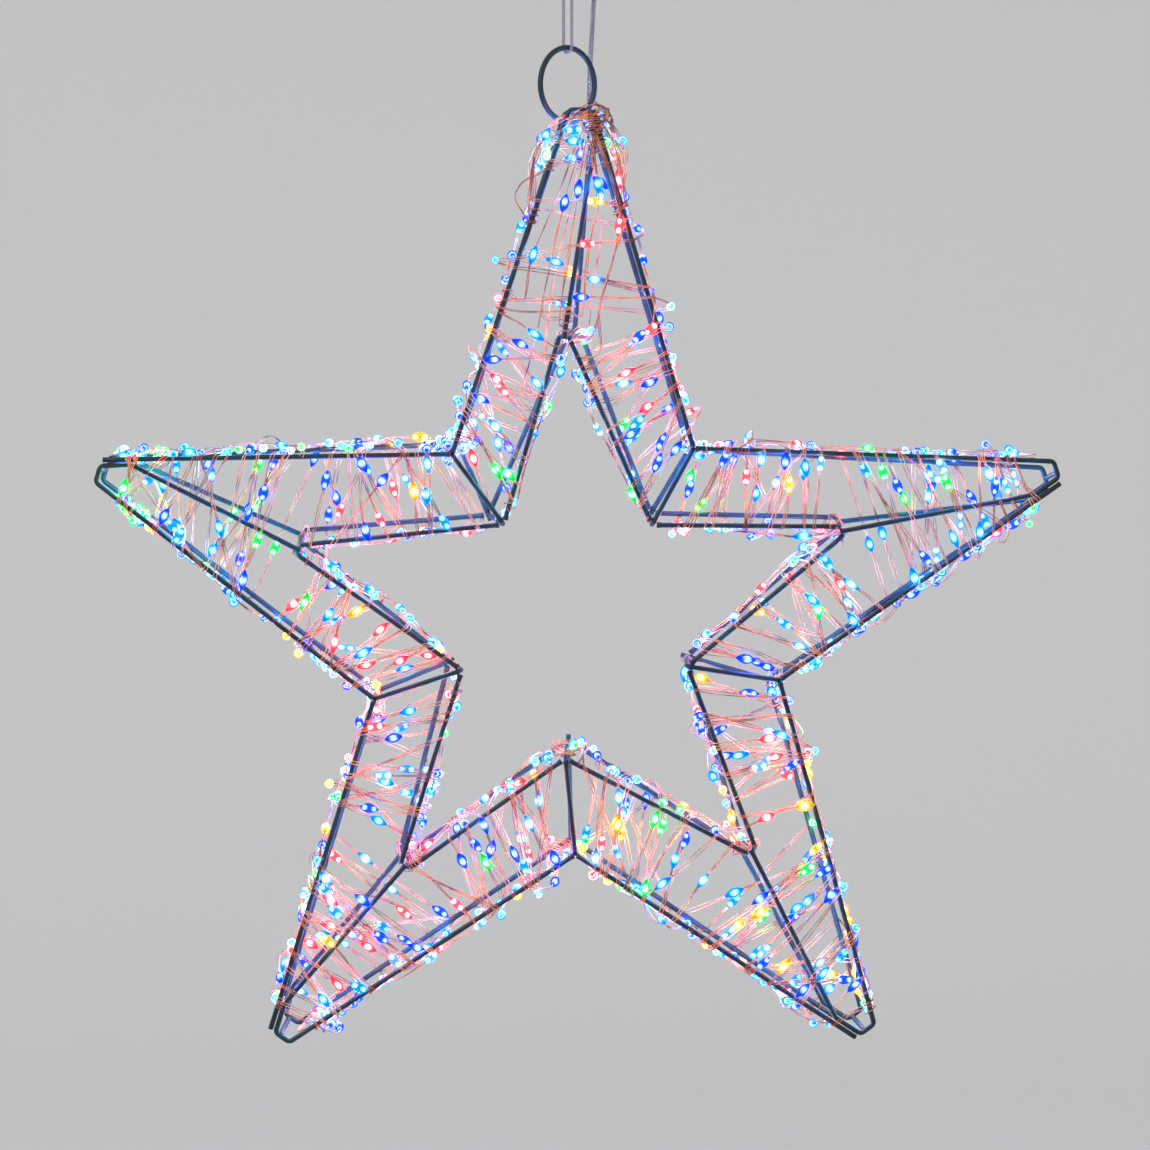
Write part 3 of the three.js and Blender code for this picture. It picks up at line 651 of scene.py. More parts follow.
def inner_tip(arm, across, side):
    return corner(INNER_TIP_RADIUS, arm_direction(arm), across, side, INNER_TIP_SHARES[arm])


def inner_notch(index, side):
    return corner(INNER_NOTCH_RADIUS, arm_direction(index) - notch_turn, 0, side, INNER_NOTCH_SHARES[index])


def notch_beside(arm, hand):
    """The notch on an arm's anticlockwise side, where hand is 1, or on its clockwise side, at -1."""
    return (arm - 1) % len(ARMS) if hand == 1 else arm


def outer_rod(arm, hand, side):
    """The two ends of an arm's outer edge on one hand and one side: at the notch and at the tip."""
    return notch(notch_beside(arm, hand), side), tip(arm, half_tip * hand, side)


def inner_rod(arm, hand, side, offset=0):
    return inner_notch(notch_beside(arm, hand), side), inner_tip(arm, offset * hand, side)


def unit(vector):
    return vector / max(reach_of(vector), TINY)


def towards(a, b, distance):
    return a + unit(b - a) * distance


def strut_turn(arm, side):
    """Where the strut, after lying along the cut edge rod, turns down the middle of the arm."""
    foot, end = outer_rod(arm, -1, side)
    return tip(arm, -strut_start, side) + unit(foot - end) * STRUT_LAP


def bent_line(corners):
    """Rounds each inner corner of a line with an arc of the rod's bend radius."""
    points = [corners[0]]
    for before, here, after in zip(corners, corners[1:], corners[2:]):
        back = unit(before - here)
        on = unit(after - here)
        half = acos(max(-1.0, min(1.0, float(back.dot(on))))) / 2
        along = BEND_RADIUS / tan(half)
        middle = here + unit(back + on) * BEND_RADIUS / sin(half)
        first = here + back * along - middle
        last = here + on * along - middle
        sweep = pi - 2 * half
        for step in range(BEND_STEPS + 1):
            share = step / BEND_STEPS
            arc = first * sin((1 - share) * sweep) + last * sin(share * sweep)
            points.append(middle + arc / sin(sweep))
    points.append(corners[-1])
    return points


def rod_end(outer, inner, kind):
    """The stations and radii of a welded or cut end, from the end inwards."""
    profile = WELD_SHARES if kind == "weld" else CUT_SHARES
    origin = outer + unit(outer - inner) * (WELD_REACH if kind == "weld" else 0.0)
    stations = [origin + unit(inner - outer) * away * MM for away, _ in profile]
    return stations, [rod_radius * share for _, share in profile]


rod_lines = []


def place_rod(name, node, corners, ends):
    """A bent rod, each end of which is welded in a swollen fillet or cut off square."""
    rod_lines.append(corners)
    line = bent_line(corners)
    filled = [line[0]]
    for a, b in zip(line, line[1:]):
        count = max(1, round(reach_of(b - a) / ROD_SPACING))
        filled += [a + (b - a) * step / count for step in range(1, count + 1)]
    first, first_radii = rod_end(filled[0], filled[1], ends[0])
    last, last_radii = rod_end(filled[-1], filled[-2], ends[1])
    points = first + filled[1:-1] + last[::-1]
    radii = first_radii + [rod_radius] * (len(filled) - 2) + last_radii[::-1]
    made = tube_piece(name, lacquer_painted_blue_glints, points, radii, ROD_SIDES)
    belongs(made, "star", "lacquer", node)


for arm, arm_name in enumerate(ARMS):
    for side, side_name in enumerate(("front", "back")):
        foot, left = outer_rod(arm, 1, side)
        right = tip(arm, -strut_start, side)
        place_rod(
            f"{side_name}_loop_rod_{arm_name}", f"{side_name}_arm_loop_{arm_name}",
            [towards(foot, left, edge_stop), left, right, strut_turn(arm, side), inner_tip(arm, 0, side)],
            ("weld", "weld"),
        )
        foot, end = outer_rod(arm, -1, side)
        place_rod(
            f"{side_name}_edge_{arm_name}", f"{side_name}_edge_rod_{arm_name}",
            [towards(foot, end, edge_stop), end], ("weld", "cut"),
        )
    for hand, hand_name in ((1, "left"), (-1, "right")):
        front, front_bend = inner_rod(arm, hand, 0, hairpin_offset)
        back, back_bend = inner_rod(arm, hand, 1, hairpin_offset)
        place_rod(
            f"hairpin_rod_{hand_name}_{arm_name}", f"inner_hairpin_{hand_name}_{arm_name}",
            [towards(front, front_bend, leg_stop), front_bend, back_bend, towards(back, back_bend, leg_stop)],
            ("weld", "weld"),
        )
    front, back = tip(arm, 0, 0), tip(arm, 0, 1)
    place_rod(
        f"spacer_rod_{arm_name}", f"tip_spacer_{arm_name}",
        [towards(front, back, edge_stop), towards(back, front, edge_stop)], ("weld", "weld"),
    )
for index, notch_name in enumerate(NOTCHES):
    inner = [inner_notch(index, side) for side in (0, 1)]
    outer = [notch(index, side) for side in (0, 1)]
    stub_end = towards(inner[1], outer[1], -STUB_LENGTH)
    place_rod(
        f"hoop_rod_{notch_name}", f"notch_hoop_{notch_name}",
        [towards(inner[1], inner[0], edge_stop), inner[0], outer[0], outer[1], stub_end],
        ("weld", "cut"),
    )

# Light string: two enamelled copper wires, wound by hand round each limb and each arm, front and back.
# The turns slide together at some places on the rods and lie slack between them, and loose loops of the
# string stand off the outer rods and gather in tangles at the corners.
WIRE_DIAMETER = 0.44 * MM
WIRE_APART = 1.3 * MM
WIRE_MERGE = 0.5 * MM
# How the pair rolls and opens along the string: its reach, and its pace in radians a station. Where in
# its waves it starts is left to chance, in radians.
START_PHASE = (0, 6)
PAIR_ROLL = 0.4
ROLL_PACE = 0.37
PAIR_MEAN = 0.75
PAIR_SWELL = 0.35
SWELL_PACE = 0.23
WIRE_SIDES = 5
WIRE_SPACING = 2.4 * MM
WIRE_CLEARANCE = 0.35 * MM
WIRE_LIFT = (0, 0.3)
TURN_CLEARANCE = 1.0 * MM
TURN_RISE = 0.5 * MM
TURN_SHARES = (0.02, 0.98)
LOOSE_PAIR_WAY = (0.31, 0.83, 0.46)
BEAD_LENGTH = 8.0 * MM
BEAD_DIAMETER = 3.9 * MM
BEAD_CLEARANCE = 0.25 * MM
BEAD_STRAIGHTNESS = 0.965
BEAD_TRIES = 14
BEAD_TRY_STEP = 1.3 * MM
BEAD_PITCH_SPREAD = (0.75, 1.25)
FIRST_BEAD_SPREAD = (0.2, 0.9)
BEAD_ROOM = 1.1
# Degrees that the star swings to each side, and how near to the top tip the ring could reach a bead.
SWING_LIMIT = 45
SWING_STEP = 5
RING_REGION = 2.5 * RING_BORE
LIMB_EDGE_SHARE = 0.4
NEAR_SHARE = 0.01
# The turns gather at places on the rods or jump along them, by so many strays, and each span from one
# rod to the next bulges, sways and ripples by some mm.
GATHER_SPACING = 14 * MM
GATHER_CHANCE = 0.6
GATHER_JITTER = (0.1, 0.9)
GATHER_PULL = (0.7, 1)
JUMP_CHANCE = 0.12
JUMP_STRAYS = 6
SLACK_REACH = 9.0 * MM
SLACK_CHANCE = 0.25
SLACK_SPREAD = (0.4, 1)
INNER_SLACK = 0.7
SHORT_SPAN = 60 * MM
EDGE_BULGE = (0.8, 2.6)
FACE_BULGE = (-2.5, 0.7)
SPAN_SWAY = 0.6
SPAN_RIPPLE = 0.15
# Stretches of each winding: the shares where they start and end, their turns and their bead pitch in mm.
# The string goes out along a limb or arm one way round, and comes back in fewer turns the other way.
LIMB_STRETCHES = [(0.05, 0.97, 9, 42)]
LIMB_RETURN = [(0.05, 0.97, 4, 120)]
ARM_STRETCHES = [(0.42, 0.97, 12, 38)]
ARM_RETURN = [(0.42, 0.955, 5, 90)]
TOP_ARM_STRETCHES = [(0.42, 0.58, 3, 46), (0.58, 0.84, 2, 60), (0.84, 0.965, 5, 38)]
LIMB_STRAY = 0.055
LIMB_RETURN_STRAY = 0.09
ARM_STRAY = 0.036
ARM_RETURN_STRAY = 0.06
# Shares of blue, azure, white, red, amber and green beads for each arm's anticlockwise limb,
# its clockwise limb and its outer part.
BEAD_COLORS = ["blue", "azure", "white", "red", "amber", "green"]
COLOR_SHARES = [
    [(4, 4, 2, 2, 0.8, 1), (4, 4, 2, 2, 1, 1), (4, 6, 2, 1, 1, 0.4)],
    [(3, 4, 3, 2.5, 0.7, 0.8), (4, 5, 3, 1.5, 0.8, 1), (4, 6, 3, 1, 0.4, 0.7)],
    [(3, 4, 2, 2, 2, 0.4), (3, 4, 3, 1.3, 1.4, 1.2), (4, 5, 3, 1, 1.5, 0.8)],
    [(3, 4, 2, 2.5, 1.6, 1), (3, 5, 2, 2, 1.6, 0.5), (4, 5, 3, 2, 0.8, 0.4)],
    [(3, 4, 3, 2, 0.8, 1), (3, 5, 3, 2, 1.2, 0.8), (4, 6, 2, 1, 0.6, 2)],
]

dice = random.Random(20)
rod_ends = np.array([(a, b) for line in rod_lines for a, b in zip(line, line[1:])])


def along_rod(foot, end, share, part=1.0):
    return foot + (end - foot) * share * part


def limb_rods(arm, hand, share, side):
    """The points at this share of a limb's outer and inner rod, on the front or the back side."""
    inner = inner_rod(arm, hand, side, hairpin_offset)
    return along_rod(*outer_rod(arm, hand, side), share, LIMB_EDGE_SHARE), along_rod(*inner, share)


def arm_rods(arm, share, side):
    """The points at this share of an arm's two outer edges, on the front or the back side."""
    return along_rod(*outer_rod(arm, 1, side), share), along_rod(*outer_rod(arm, -1, side), share)


def feet_on_rods(point, low, high):
    """The point of every rod that is nearest to this one, kept between two shares of its length."""
    a, run = rod_ends[:, 0], rod_ends[:, 1] - rod_ends[:, 0]
    shares = np.clip(((point - a) * run).sum(axis=1) / (run * run).sum(axis=1), low, high)
    return a + run * shares[:, None], run


def clear_of_rods(point, gap):
    feet, _ = feet_on_rods(point, 0, 1)
    return np.linalg.norm(feet - point, axis=1).min() >= gap


def clear_of_beads(point, beads):
    """True where a bead at this point doesn't touch one that is already set."""
    return all(reach_of(point - place) > BEAD_DIAMETER * BEAD_ROOM for place, _, _ in beads)


def clear_of_ring(points):
    """True where the star swings to both its limits without taking one of these points into the ring."""
    pivot = (tip(0, 0, 0) + tip(0, 0, 1)) / 2
    for point in points:
        reach = point - pivot
        for degrees in range(-SWING_LIMIT, SWING_LIMIT + 1, SWING_STEP):
            turn = radians(degrees)
            moved = pivot + np.array((
                reach[0] * cos(turn) + reach[2] * sin(turn), reach[1],
                reach[2] * cos(turn) - reach[0] * sin(turn),
            ))
            away = float(np.linalg.norm(np.array(ring_line) - moved, axis=1).min())
            if away < (RING_WIRE + BEAD_DIAMETER) / 2 + BEAD_CLEARANCE:
                return False
    return True


def gather_places(rods_at, order, low, high):
    """The shares along each of the four rods at which turns slide together."""
    gathers = {}
    for which, side in order:
        length = reach_of(rods_at(high, side)[which] - rods_at(low, side)[which])
        count = max(2, round(length / GATHER_SPACING))
        gathers[which, side] = [
            low + (high - low) * (k + dice.uniform(*GATHER_JITTER)) / count for k in range(count)
        ]
    return gathers


def held_turns(rods_at, stretches, stray, order):
    """Where the string crosses each rod: the place, the rods' middle and direction, which rod, bead pitch."""
    low, high = stretches[0][0], stretches[-1][1]
    gathers = gather_places(rods_at, order, low, high)
    shares = []
    for start, end, turns, pitch in stretches:
        shares += [(start + (end - start) * i / (turns * 4), pitch) for i in range(turns * 4)]
    held = []
    for i, (share, pitch) in enumerate(shares):
        which, side = order[i % 4]
        share += dice.gauss(0, stray)
        if dice.random() < JUMP_CHANCE:
            share += dice.uniform(-JUMP_STRAYS, JUMP_STRAYS) * stray
        if dice.random() < GATHER_CHANCE:
            nearest = min(gathers[which, side], key=lambda place: abs(place - share))
            share += (nearest - share) * dice.uniform(*GATHER_PULL)
        share = min(max(share, low - stray / 2), high + stray / 4)
        section = [rods_at(share, s) for s in (0, 1)]
        middle = (section[0][0] + section[0][1] + section[1][0] + section[1][1]) / 4
        along = unit(sum(rods_at(share + NEAR_SHARE, side)) - sum(rods_at(share - NEAR_SHARE, side)))
        held.append((section[side][which], middle, along, which, pitch))
    return held


def square_to(outward, leading):
    """The way out from a rod that stands square to the string's own way there."""
    return unit(outward - leading * outward.dot(leading))


def wind(rods_at, stretches, stray, hand=1):
    """Winds the string round four rods: stations, the rods' direction at each, and the bead pitch there."""
    held = held_turns(rods_at, stretches, stray, [(0, 0), (1, 0), (1, 1), (0, 1)][::hand])
    line = []
    for before, this, following in zip(held, held[1:], held[2:]):
        here, middle, along, which, pitch = this
        after, after_middle, _, after_which, _ = following
        leaving = unit(after - here)
        first = square_to(here - middle, unit(here - before[0]))
        last = square_to(here - middle, leaving)
        off = rod_radius + WIRE_CLEARANCE + dice.uniform(*WIRE_LIFT) * MM
        for share in (0, 0.5, 1):
            line.append((here + unit(first * (1 - share) + last * share) * off, along, pitch))
        if following is held[-1]:
            break
        exit_point = line[-1][0]
        entry = after + square_to(after - after_middle, leaving) * off
        length = reach_of(entry - exit_point)
        if which == after_which:
            bulge_way = unit((here + after) / 2 - middle)
            slack = dice.random() < SLACK_CHANCE
            bulge = dice.uniform(*SLACK_SPREAD) * SLACK_REACH if slack else dice.uniform(*EDGE_BULGE) * MM
            if which == 1 and length < SHORT_SPAN and len(stretches) == 1:
                bulge *= INNER_SLACK
        else:
            bulge_way = backwards(-1.0 if here[1] < star_centre[1] else 1.0)
            bulge = dice.uniform(*FACE_BULGE) * MM
        sway = along * dice.gauss(0, SPAN_SWAY) * MM
        ripple = along * dice.gauss(0, SPAN_RIPPLE) * MM
        steps = max(2, round(length / WIRE_SPACING))
        for step in range(1, steps):
            t = step / steps
            bow = sin(pi * t)
            place = exit_point + (entry - exit_point) * t + bulge_way * bulge * bow + sway * bow
            line.append((place + ripple * sin(3 * pi * t), along, pitch))
    return line


def span_beads(line, weights, beads):
    """Sets beads where the string runs straight and clear of the rods, and lists how far along they are."""
    points = np.array([p for p, _, _ in line])
    gone = np.concatenate([[0], np.cumsum(np.linalg.norm(np.diff(points, axis=0), axis=1))])
    pitches = np.array([pitch for _, _, pitch in line]) * MM
    places = []
    at = dice.uniform(*FIRST_BEAD_SPREAD) * pitches[0]
    half = BEAD_LENGTH / 2
    while at < gone[-1] - BEAD_LENGTH:
        where = at
        for _ in range(BEAD_TRIES):
            a, middle, b = (
                np.array([np.interp(where + reach, gone, points[:, k]) for k in range(3)])
                for reach in (-half, 0, half)
            )
            straight = reach_of(b - a) > BEAD_STRAIGHTNESS * BEAD_LENGTH
            off_rods = clear_of_rods(middle, rod_radius + BEAD_DIAMETER / 2 + BEAD_CLEARANCE)
            near_ring = reach_of(middle - tip(0, 0, 0)) < RING_REGION
            off_ring = not near_ring or clear_of_ring((a, middle, b))
            if straight and off_rods and off_ring and clear_of_beads(middle, beads):
                color = dice.choices(BEAD_COLORS, weights)[0]
                beads.append(((a + 2 * middle + b) / 4, unit(b - a), color))
                places.append(where)
                break
            where += BEAD_TRY_STEP
        at = where + float(np.interp(where, gone, pitches)) * dice.uniform(*BEAD_PITCH_SPREAD)
    return gone, places


def lay_wires(shape, line, gone, places):
    """The string's two wires, side by side along its stations and drawn together at every bead."""
    points = np.array([p for p, _, _ in line])
    tangents = np.gradient(points, axis=0)
    phase = dice.uniform(*START_PHASE)
    pair = ([], [])
    for i, (point, along, _) in enumerate(line):
        tangent = unit(tangents[i])
        side = unit(along - tangent * along.dot(tangent))
        other = np.cross(tangent, side)
        roll = PAIR_ROLL * sin(ROLL_PACE * i + phase)
        apart = WIRE_APART * (PAIR_MEAN + PAIR_SWELL * sin(SWELL_PACE * i + 2 * phase))
        if places:
            near = min(abs(gone[i] - place) for place in places) - BEAD_LENGTH / 2
            apart = WIRE_MERGE + (apart - WIRE_MERGE) * min(max(near / BEAD_LENGTH, 0), 1)
        offset = (side * cos(roll) + other * sin(roll)) * apart / 2
        pair[0].append(point + offset)
        pair[1].append(point - offset)
    for wire in pair:
        shape.tube(wire, WIRE_DIAMETER / 2, WIRE_SIDES)


def turn_round_rod(point):
    """One turn round the rod that is nearest to a point, from the side that the point is on."""
    feet, runs = feet_on_rods(point, *TURN_SHARES)
    nearest = int(np.linalg.norm(feet - point, axis=1).argmin())
    foot, rod_way = feet[nearest], unit(runs[nearest])
    out = unit(point - foot - rod_way * (point - foot).dot(rod_way))
    side = np.cross(rod_way, out)
    turn = []
    for quarter in range(5):
        angle = pi / 2 * quarter
        around = out * cos(angle) + side * sin(angle)
        turn.append(foot + around * (rod_radius + TURN_CLEARANCE) + rod_way * quarter * TURN_RISE)
    return turn


def loose_run(points, pitch):
    """A loose stretch of string through these points, whose ends are turned round the nearest rods."""
    points = turn_round_rod(points[0])[::-1] + list(points) + turn_round_rod(points[-1])
    line = curved(points, WIRE_SPACING)
    return [(point, np.array(LOOSE_PAIR_WAY), pitch) for point in line]


# The four places of a loop in turn: at the front or the back rod, and shares of its reach outwards.
LOOP_FRONT = (0, 1, 1, 0)
LOOP_OUT = (-0.22, -0.3, 1, 0.75)
LOOP_OUT_SPREAD = (0.5, 1)
LOOP_DEPTH_SPREAD = (0.55, 1)


def tangle(middle, along, outward, reaches, turns, pitch):
    """Loose loops round the two rods at a corner: along them, out from them and from front to back."""
    along_reach, out_reach, depth = [reach * MM for reach in reaches]
    points = []
    for i in range(turns * 4):
        front = LOOP_FRONT[i % 4]
        out = LOOP_OUT[i % 4] * dice.uniform(*LOOP_OUT_SPREAD)
        points.append(
            middle + along * dice.uniform(-1, 1) * along_reach + outward * out * out_reach
            + backwards((depth if front else -depth) * dice.uniform(*LOOP_DEPTH_SPREAD))
        )
    return loose_run(points, pitch)


EDGE_RUN_SPACING = 13 * MM
EDGE_RUN_OFF = (1.6, 4.6)


def edge_run(ends, outward, low, high, pitch):
    """A slack stretch that follows an outer edge, wandering between its front and its back rod."""
    foot, end, back_foot, back_end = ends
    points = []
    count = max(4, round(reach_of(end - foot) * (high - low) / EDGE_RUN_SPACING))
    for i in range(count + 1):
        share = low + (high - low) * i / count
        across = dice.uniform(0.0, 1.0)
        place = along_rod(foot, end, share) * (1 - across) + along_rod(back_foot, back_end, share) * across
        points.append(place + outward * dice.uniform(*EDGE_RUN_OFF) * MM)
    return loose_run(points, pitch)


def way(direction):
    return np.array((cos(direction), 0, sin(direction)))


def left_of(arm):
    """The way across an arm to its anticlockwise side."""
    direction = arm_direction(arm)
    return np.array((-sin(direction), 0, cos(direction)))


def outer_edge(arm, hand):
    """The ends of an arm's outer edge on one hand, front and back, and the way out from it."""
    ends = [*outer_rod(arm, hand, 0), *outer_rod(arm, hand, 1)]
    outward = unit(np.cross(unit(ends[1] - ends[0]), backwards(1)))
    return ends, outward * copysign(1, float(outward.dot(left_of(arm) * hand)))


def tangle_place(kind, arm):
    """The middle of a tangle, the way along the rods there and the way out from them."""
    if "end" in kind:
        hand = -1 if kind == "cut_end" else 1
        foot, end = outer_rod(arm, hand, 0)
        middle = along_rod(foot, end, END_SHARE) - backwards(foot[1])
        return middle, unit(end - foot), left_of(arm) * hand
    outward = way(arm_direction(arm) - notch_turn if "notch" in kind else arm_direction(arm))
    along = np.array((-outward[2], 0, outward[0]))
    if kind == "inner_tip":
        return (inner_tip(arm, 0, 0) + inner_tip(arm, 0, 1)) / 2, along, -outward
    if kind == "inner_notch":
        return (inner_notch(arm, 0) + inner_notch(arm, 1)) / 2, along, -outward
    return (notch(arm, 0) + notch(arm, 1)) / 2, along, outward


# Enamelled copper whose drift to a near-black second colour is painted shade: dark patches that stand for the
# stretches of wire which the beads' light doesn't reach.
copper_wire_painted_shade = finished(
    "copper_wire_painted_shade", (1.0, 0.34, 0.14), (0.13, 0.028, 0.02), scales=(95, 4000), roughness=(0.25, 0.42),
    lift=0.00001, Metallic=0.35, Coat_Weight=0.3, Coat_Roughness=0.15,
)
# Tangles: the corner, its reaches along, out and in depth in mm, its turns, bead pitch and colours.
TANGLES = [
    ("notch", 4, (9, 7, 17), 7, 15, (5, 6, 2, 0, 0, 0)),
    ("notch", 0, (7, 5, 17), 5, 16, (5, 5, 2, 0.3, 0, 0)),
    ("inner_tip", 0, (9, 3.5, 15), 5, 16, (1, 3, 4, 3, 0.5, 0.5)),
    ("notch", 1, (8, 4, 16), 3, 26, (3, 3, 2, 3, 0, 0.5)),
    ("notch", 2, (9, 3, 16), 3, 26, (1, 2, 3, 2, 2, 2)),
    ("notch", 3, (8, 4, 16), 3, 26, (1, 2, 3, 3, 2, 1)),
    ("inner_notch", 2, (8, 3, 15), 3, 26, (3, 2, 2, 2, 0.5, 1.5)),
    ("inner_tip", 1, (7, 2.5, 14), 2, 26, (3, 2, 2, 1, 0.5, 1)),
    ("inner_tip", 2, (7, 2.5, 14), 2, 26, (2, 3, 2, 1, 1, 0.5)),
    ("inner_tip", 3, (7, 2.5, 14), 2, 30, (2, 3, 1, 2, 1, 0.5)),
    ("inner_tip", 4, (7, 2.5, 14), 2, 30, (2, 3, 2, 1, 1, 1)),
    ("end", 4, (10, 3, 15), 5, 20, (2, 2, 1, 0.2, 0, 6)),
    ("cut_end", 4, (12, 3, 15), 4, 20, (2, 3, 1, 0.2, 0, 5)),
    ("end", 1, (9, 2.5, 14), 2, 30, (3, 4, 2, 1, 0, 0)),
    ("end", 2, (10, 3, 15), 3, 26, (2, 5, 2, 0.5, 1, 1)),
    ("end", 3, (10, 3, 15), 3, 26, (3, 4, 3, 1, 0.5, 0)),
]
END_SHARE = 0.9
# Slack runs along the edges: the shares where they start and end, and their bead pitch in mm.
OUTER_RUN = (0.08, 0.9, 30)
TOP_OUTER_RUN = (0.35, 0.9, 30)
INNER_RUN = (0.1, 0.92, 34)
INNER_RUN_OFF = 0.8
# Fans of the top arm: the hand, strands and bead pitch of each edge's fan, how far down the edge (share)
# and out from it (mm) they stand, and where in mm they come from the wraps at the tip.
FANS = [(1, 6, 62), (-1, 9, 110)]
FAN_PROFILE = [(0.03, 3.5), (0.09, 7), (0.15, 8), (0.21, 6), (0.27, 3), (0.32, 1.5)]
FAN_COLORS = (3.5, 6, 2, 2, 1, 0.3)
FAN_REACH_SPREAD = (0.5, 1)
FAN_SHARE_SPREAD = (0.85, 1.1)
FAN_FIRST_DEPTH = (-1, 0.6)
FAN_DEPTH_DRIFT = 0.35
FAN_FRONTMOST = -1.12
FAN_BACKMOST = 1.05
FAN_LEFT_START = (6.7, -20.9, -24)
FAN_LEFT_DROP = (0, 3)
FAN_LEFT_BEND = (0.8, -20.6, -27.6)
FAN_RIGHT_START = (14, -19.8, -25.8)
FAN_RIGHT_DEPTH = (0, 6)
# Long strands down the top arm, front and back, and the loop that stands out from its left edge, in mm.
STRAND_PITCH = 75
STRAY_LOOP_PITCH = 90
LONG_STRANDS = [
    [(5.5, -20.8, -33), (0.5, -20, -50), (-4.9, -19.6, -71), (-8.4, -19.4, -87), (-11, -19.5, -104)],
    [(4.5, -20.8, -32), (-2.8, -20, -52), (-9.8, -19.5, -69), (-15.4, -19.4, -83), (-18, -19.5, -98)],
    [(6.5, -20.8, -33), (3.4, -20, -54), (-0.4, -19.6, -79), (-2.6, -19.4, -93), (-4.4, -19.5, -108)],
    [(8.5, -20.8, -34), (11.2, -20, -58), (8.2, -19.6, -74), (6.2, -19.4, -88), (4.8, -19.6, -104)],
    [(10, -20.8, -34), (19.2, -20, -58), (18.2, -19.6, -76), (13.6, -19.4, -94), (8.8, -19.6, -112)],
    [(10.5, -20.8, -35), (20, -20, -66), (17, -19.6, -82), (11.5, -19.4, -101), (12, -19.6, -118)],
    [(32.6, -20, -94), (32.8, -19.8, -106), (28.5, -19.6, -111), (20, -19.5, -119)],
    [(-27.4, -20, -101), (-20, -19.8, -102.5), (-6, -19.6, -102.7), (0.5, -19.6, -101.5)],
    [(-27.6, -20, -103), (-19.3, -19.8, -107.5), (-12.5, -19.6, -112.4), (-7, -19.6, -116)],
    [(-9.8, -19.6, -98), (-12.6, -19.5, -109), (-15.8, -19.5, -122), (-18.6, -19.6, -134)],
    [(7, 20.4, -35), (2, 20, -62), (-5, 19.6, -92), (-8, 19.6, -118), (-7, 20, -128)],
    [(9, 20.4, -35), (15, 20, -64), (11, 19.6, -94), (9.5, 19.6, -116), (10, 20, -130)],
]
STRAY_LOOP = [
    (-9, -19.8, -47), (-13.5, -19, -49.5), (-18.5, -18, -52), (-21.5, -17, -58), (-18, -17.5, -64.5),
    (-16, -18.8, -67.5),
]


def fan_strand(ends, outward, hand):
    """The points of one strand that leaves the wraps and bows out over an edge of the top arm."""
    reach = dice.uniform(*FAN_REACH_SPREAD)
    depth = dice.uniform(*FAN_FIRST_DEPTH)
    points = []
    for share, out in FAN_PROFILE:
        place = along_rod(ends[0], ends[1], 1 - share * dice.uniform(*FAN_SHARE_SPREAD))
        depth = min(max(depth + dice.gauss(0, FAN_DEPTH_DRIFT), FAN_FRONTMOST), FAN_BACKMOST)
        points.append(
            place * np.array((1, 0, 1)) + outward * out * reach * MM
            + backwards(depth * FRAME_DEPTH / 2)
        )
    if hand == 1:
        start = np.array(FAN_LEFT_START) - upwards(dice.uniform(*FAN_LEFT_DROP))
        return [start * MM, np.array(FAN_LEFT_BEND) * MM] + points
    return [(np.array(FAN_RIGHT_START) + backwards(dice.uniform(*FAN_RIGHT_DEPTH))) * MM] + points


beads = []
for arm, arm_name in enumerate(ARMS):
    left_colors, right_colors, arm_colors = COLOR_SHARES[arm]
    left_limb = partial(limb_rods, arm, 1)
    right_limb = partial(limb_rods, arm, -1)
    whole_arm = partial(arm_rods, arm)
    arm_stretches = TOP_ARM_STRETCHES if arm == 0 else ARM_STRETCHES
    long_lines = [
        (wind(left_limb, LIMB_STRETCHES, LIMB_STRAY), left_colors),
        (wind(whole_arm, arm_stretches, ARM_STRAY), arm_colors),
        (wind(left_limb, LIMB_RETURN, LIMB_RETURN_STRAY, -1), left_colors),
    ]
    short_lines = [
        (wind(right_limb, LIMB_STRETCHES, LIMB_STRAY), right_colors),
        (wind(right_limb, LIMB_RETURN, LIMB_RETURN_STRAY, -1), right_colors),
    ]
    if arm:
        long_lines.append((wind(whole_arm, ARM_RETURN, ARM_RETURN_STRAY, -1), arm_colors))
    for runs, hand, limb_colors in ((long_lines, 1, left_colors), (short_lines, -1, right_colors)):
        ends, outward = outer_edge(arm, hand)
        runs.append((edge_run(ends, outward, *(OUTER_RUN if arm else TOP_OUTER_RUN)), arm_colors))
        inner = [*inner_rod(arm, hand, 0), *inner_rod(arm, hand, 1)]
        runs.append((edge_run(inner, -outward * INNER_RUN_OFF, *INNER_RUN), limb_colors))
    for kind, index, reaches, turns, pitch, weights in TANGLES:
        if index == arm:
            short_lines.append((tangle(*tangle_place(kind, arm), reaches, turns, pitch), weights))
    if arm == 0:
        for hand, strands, pitch in FANS:
            for _ in range(strands):
                strand = fan_strand(*outer_edge(0, hand), hand)
                long_lines.append((loose_run(strand, pitch), FAN_COLORS))
        for strand in LONG_STRANDS:
            long_lines.append((loose_run(in_metres(strand), STRAND_PITCH), arm_colors))
        long_lines.append((loose_run(in_metres(STRAY_LOOP), STRAY_LOOP_PITCH), left_colors))
    for kind, runs in (("arm", long_lines), ("limb", short_lines)):
        shape = Shape()
        for line, weights in runs:
            gone, places = span_beads(line, weights, beads)
            lay_wires(shape, line, gone, places)
        wires = shape.piece(f"string_wires_{kind}_{arm_name}", copper_wire_painted_shade)
        belongs(wires, "star", "copper", f"light_string_{kind}_{arm_name}")

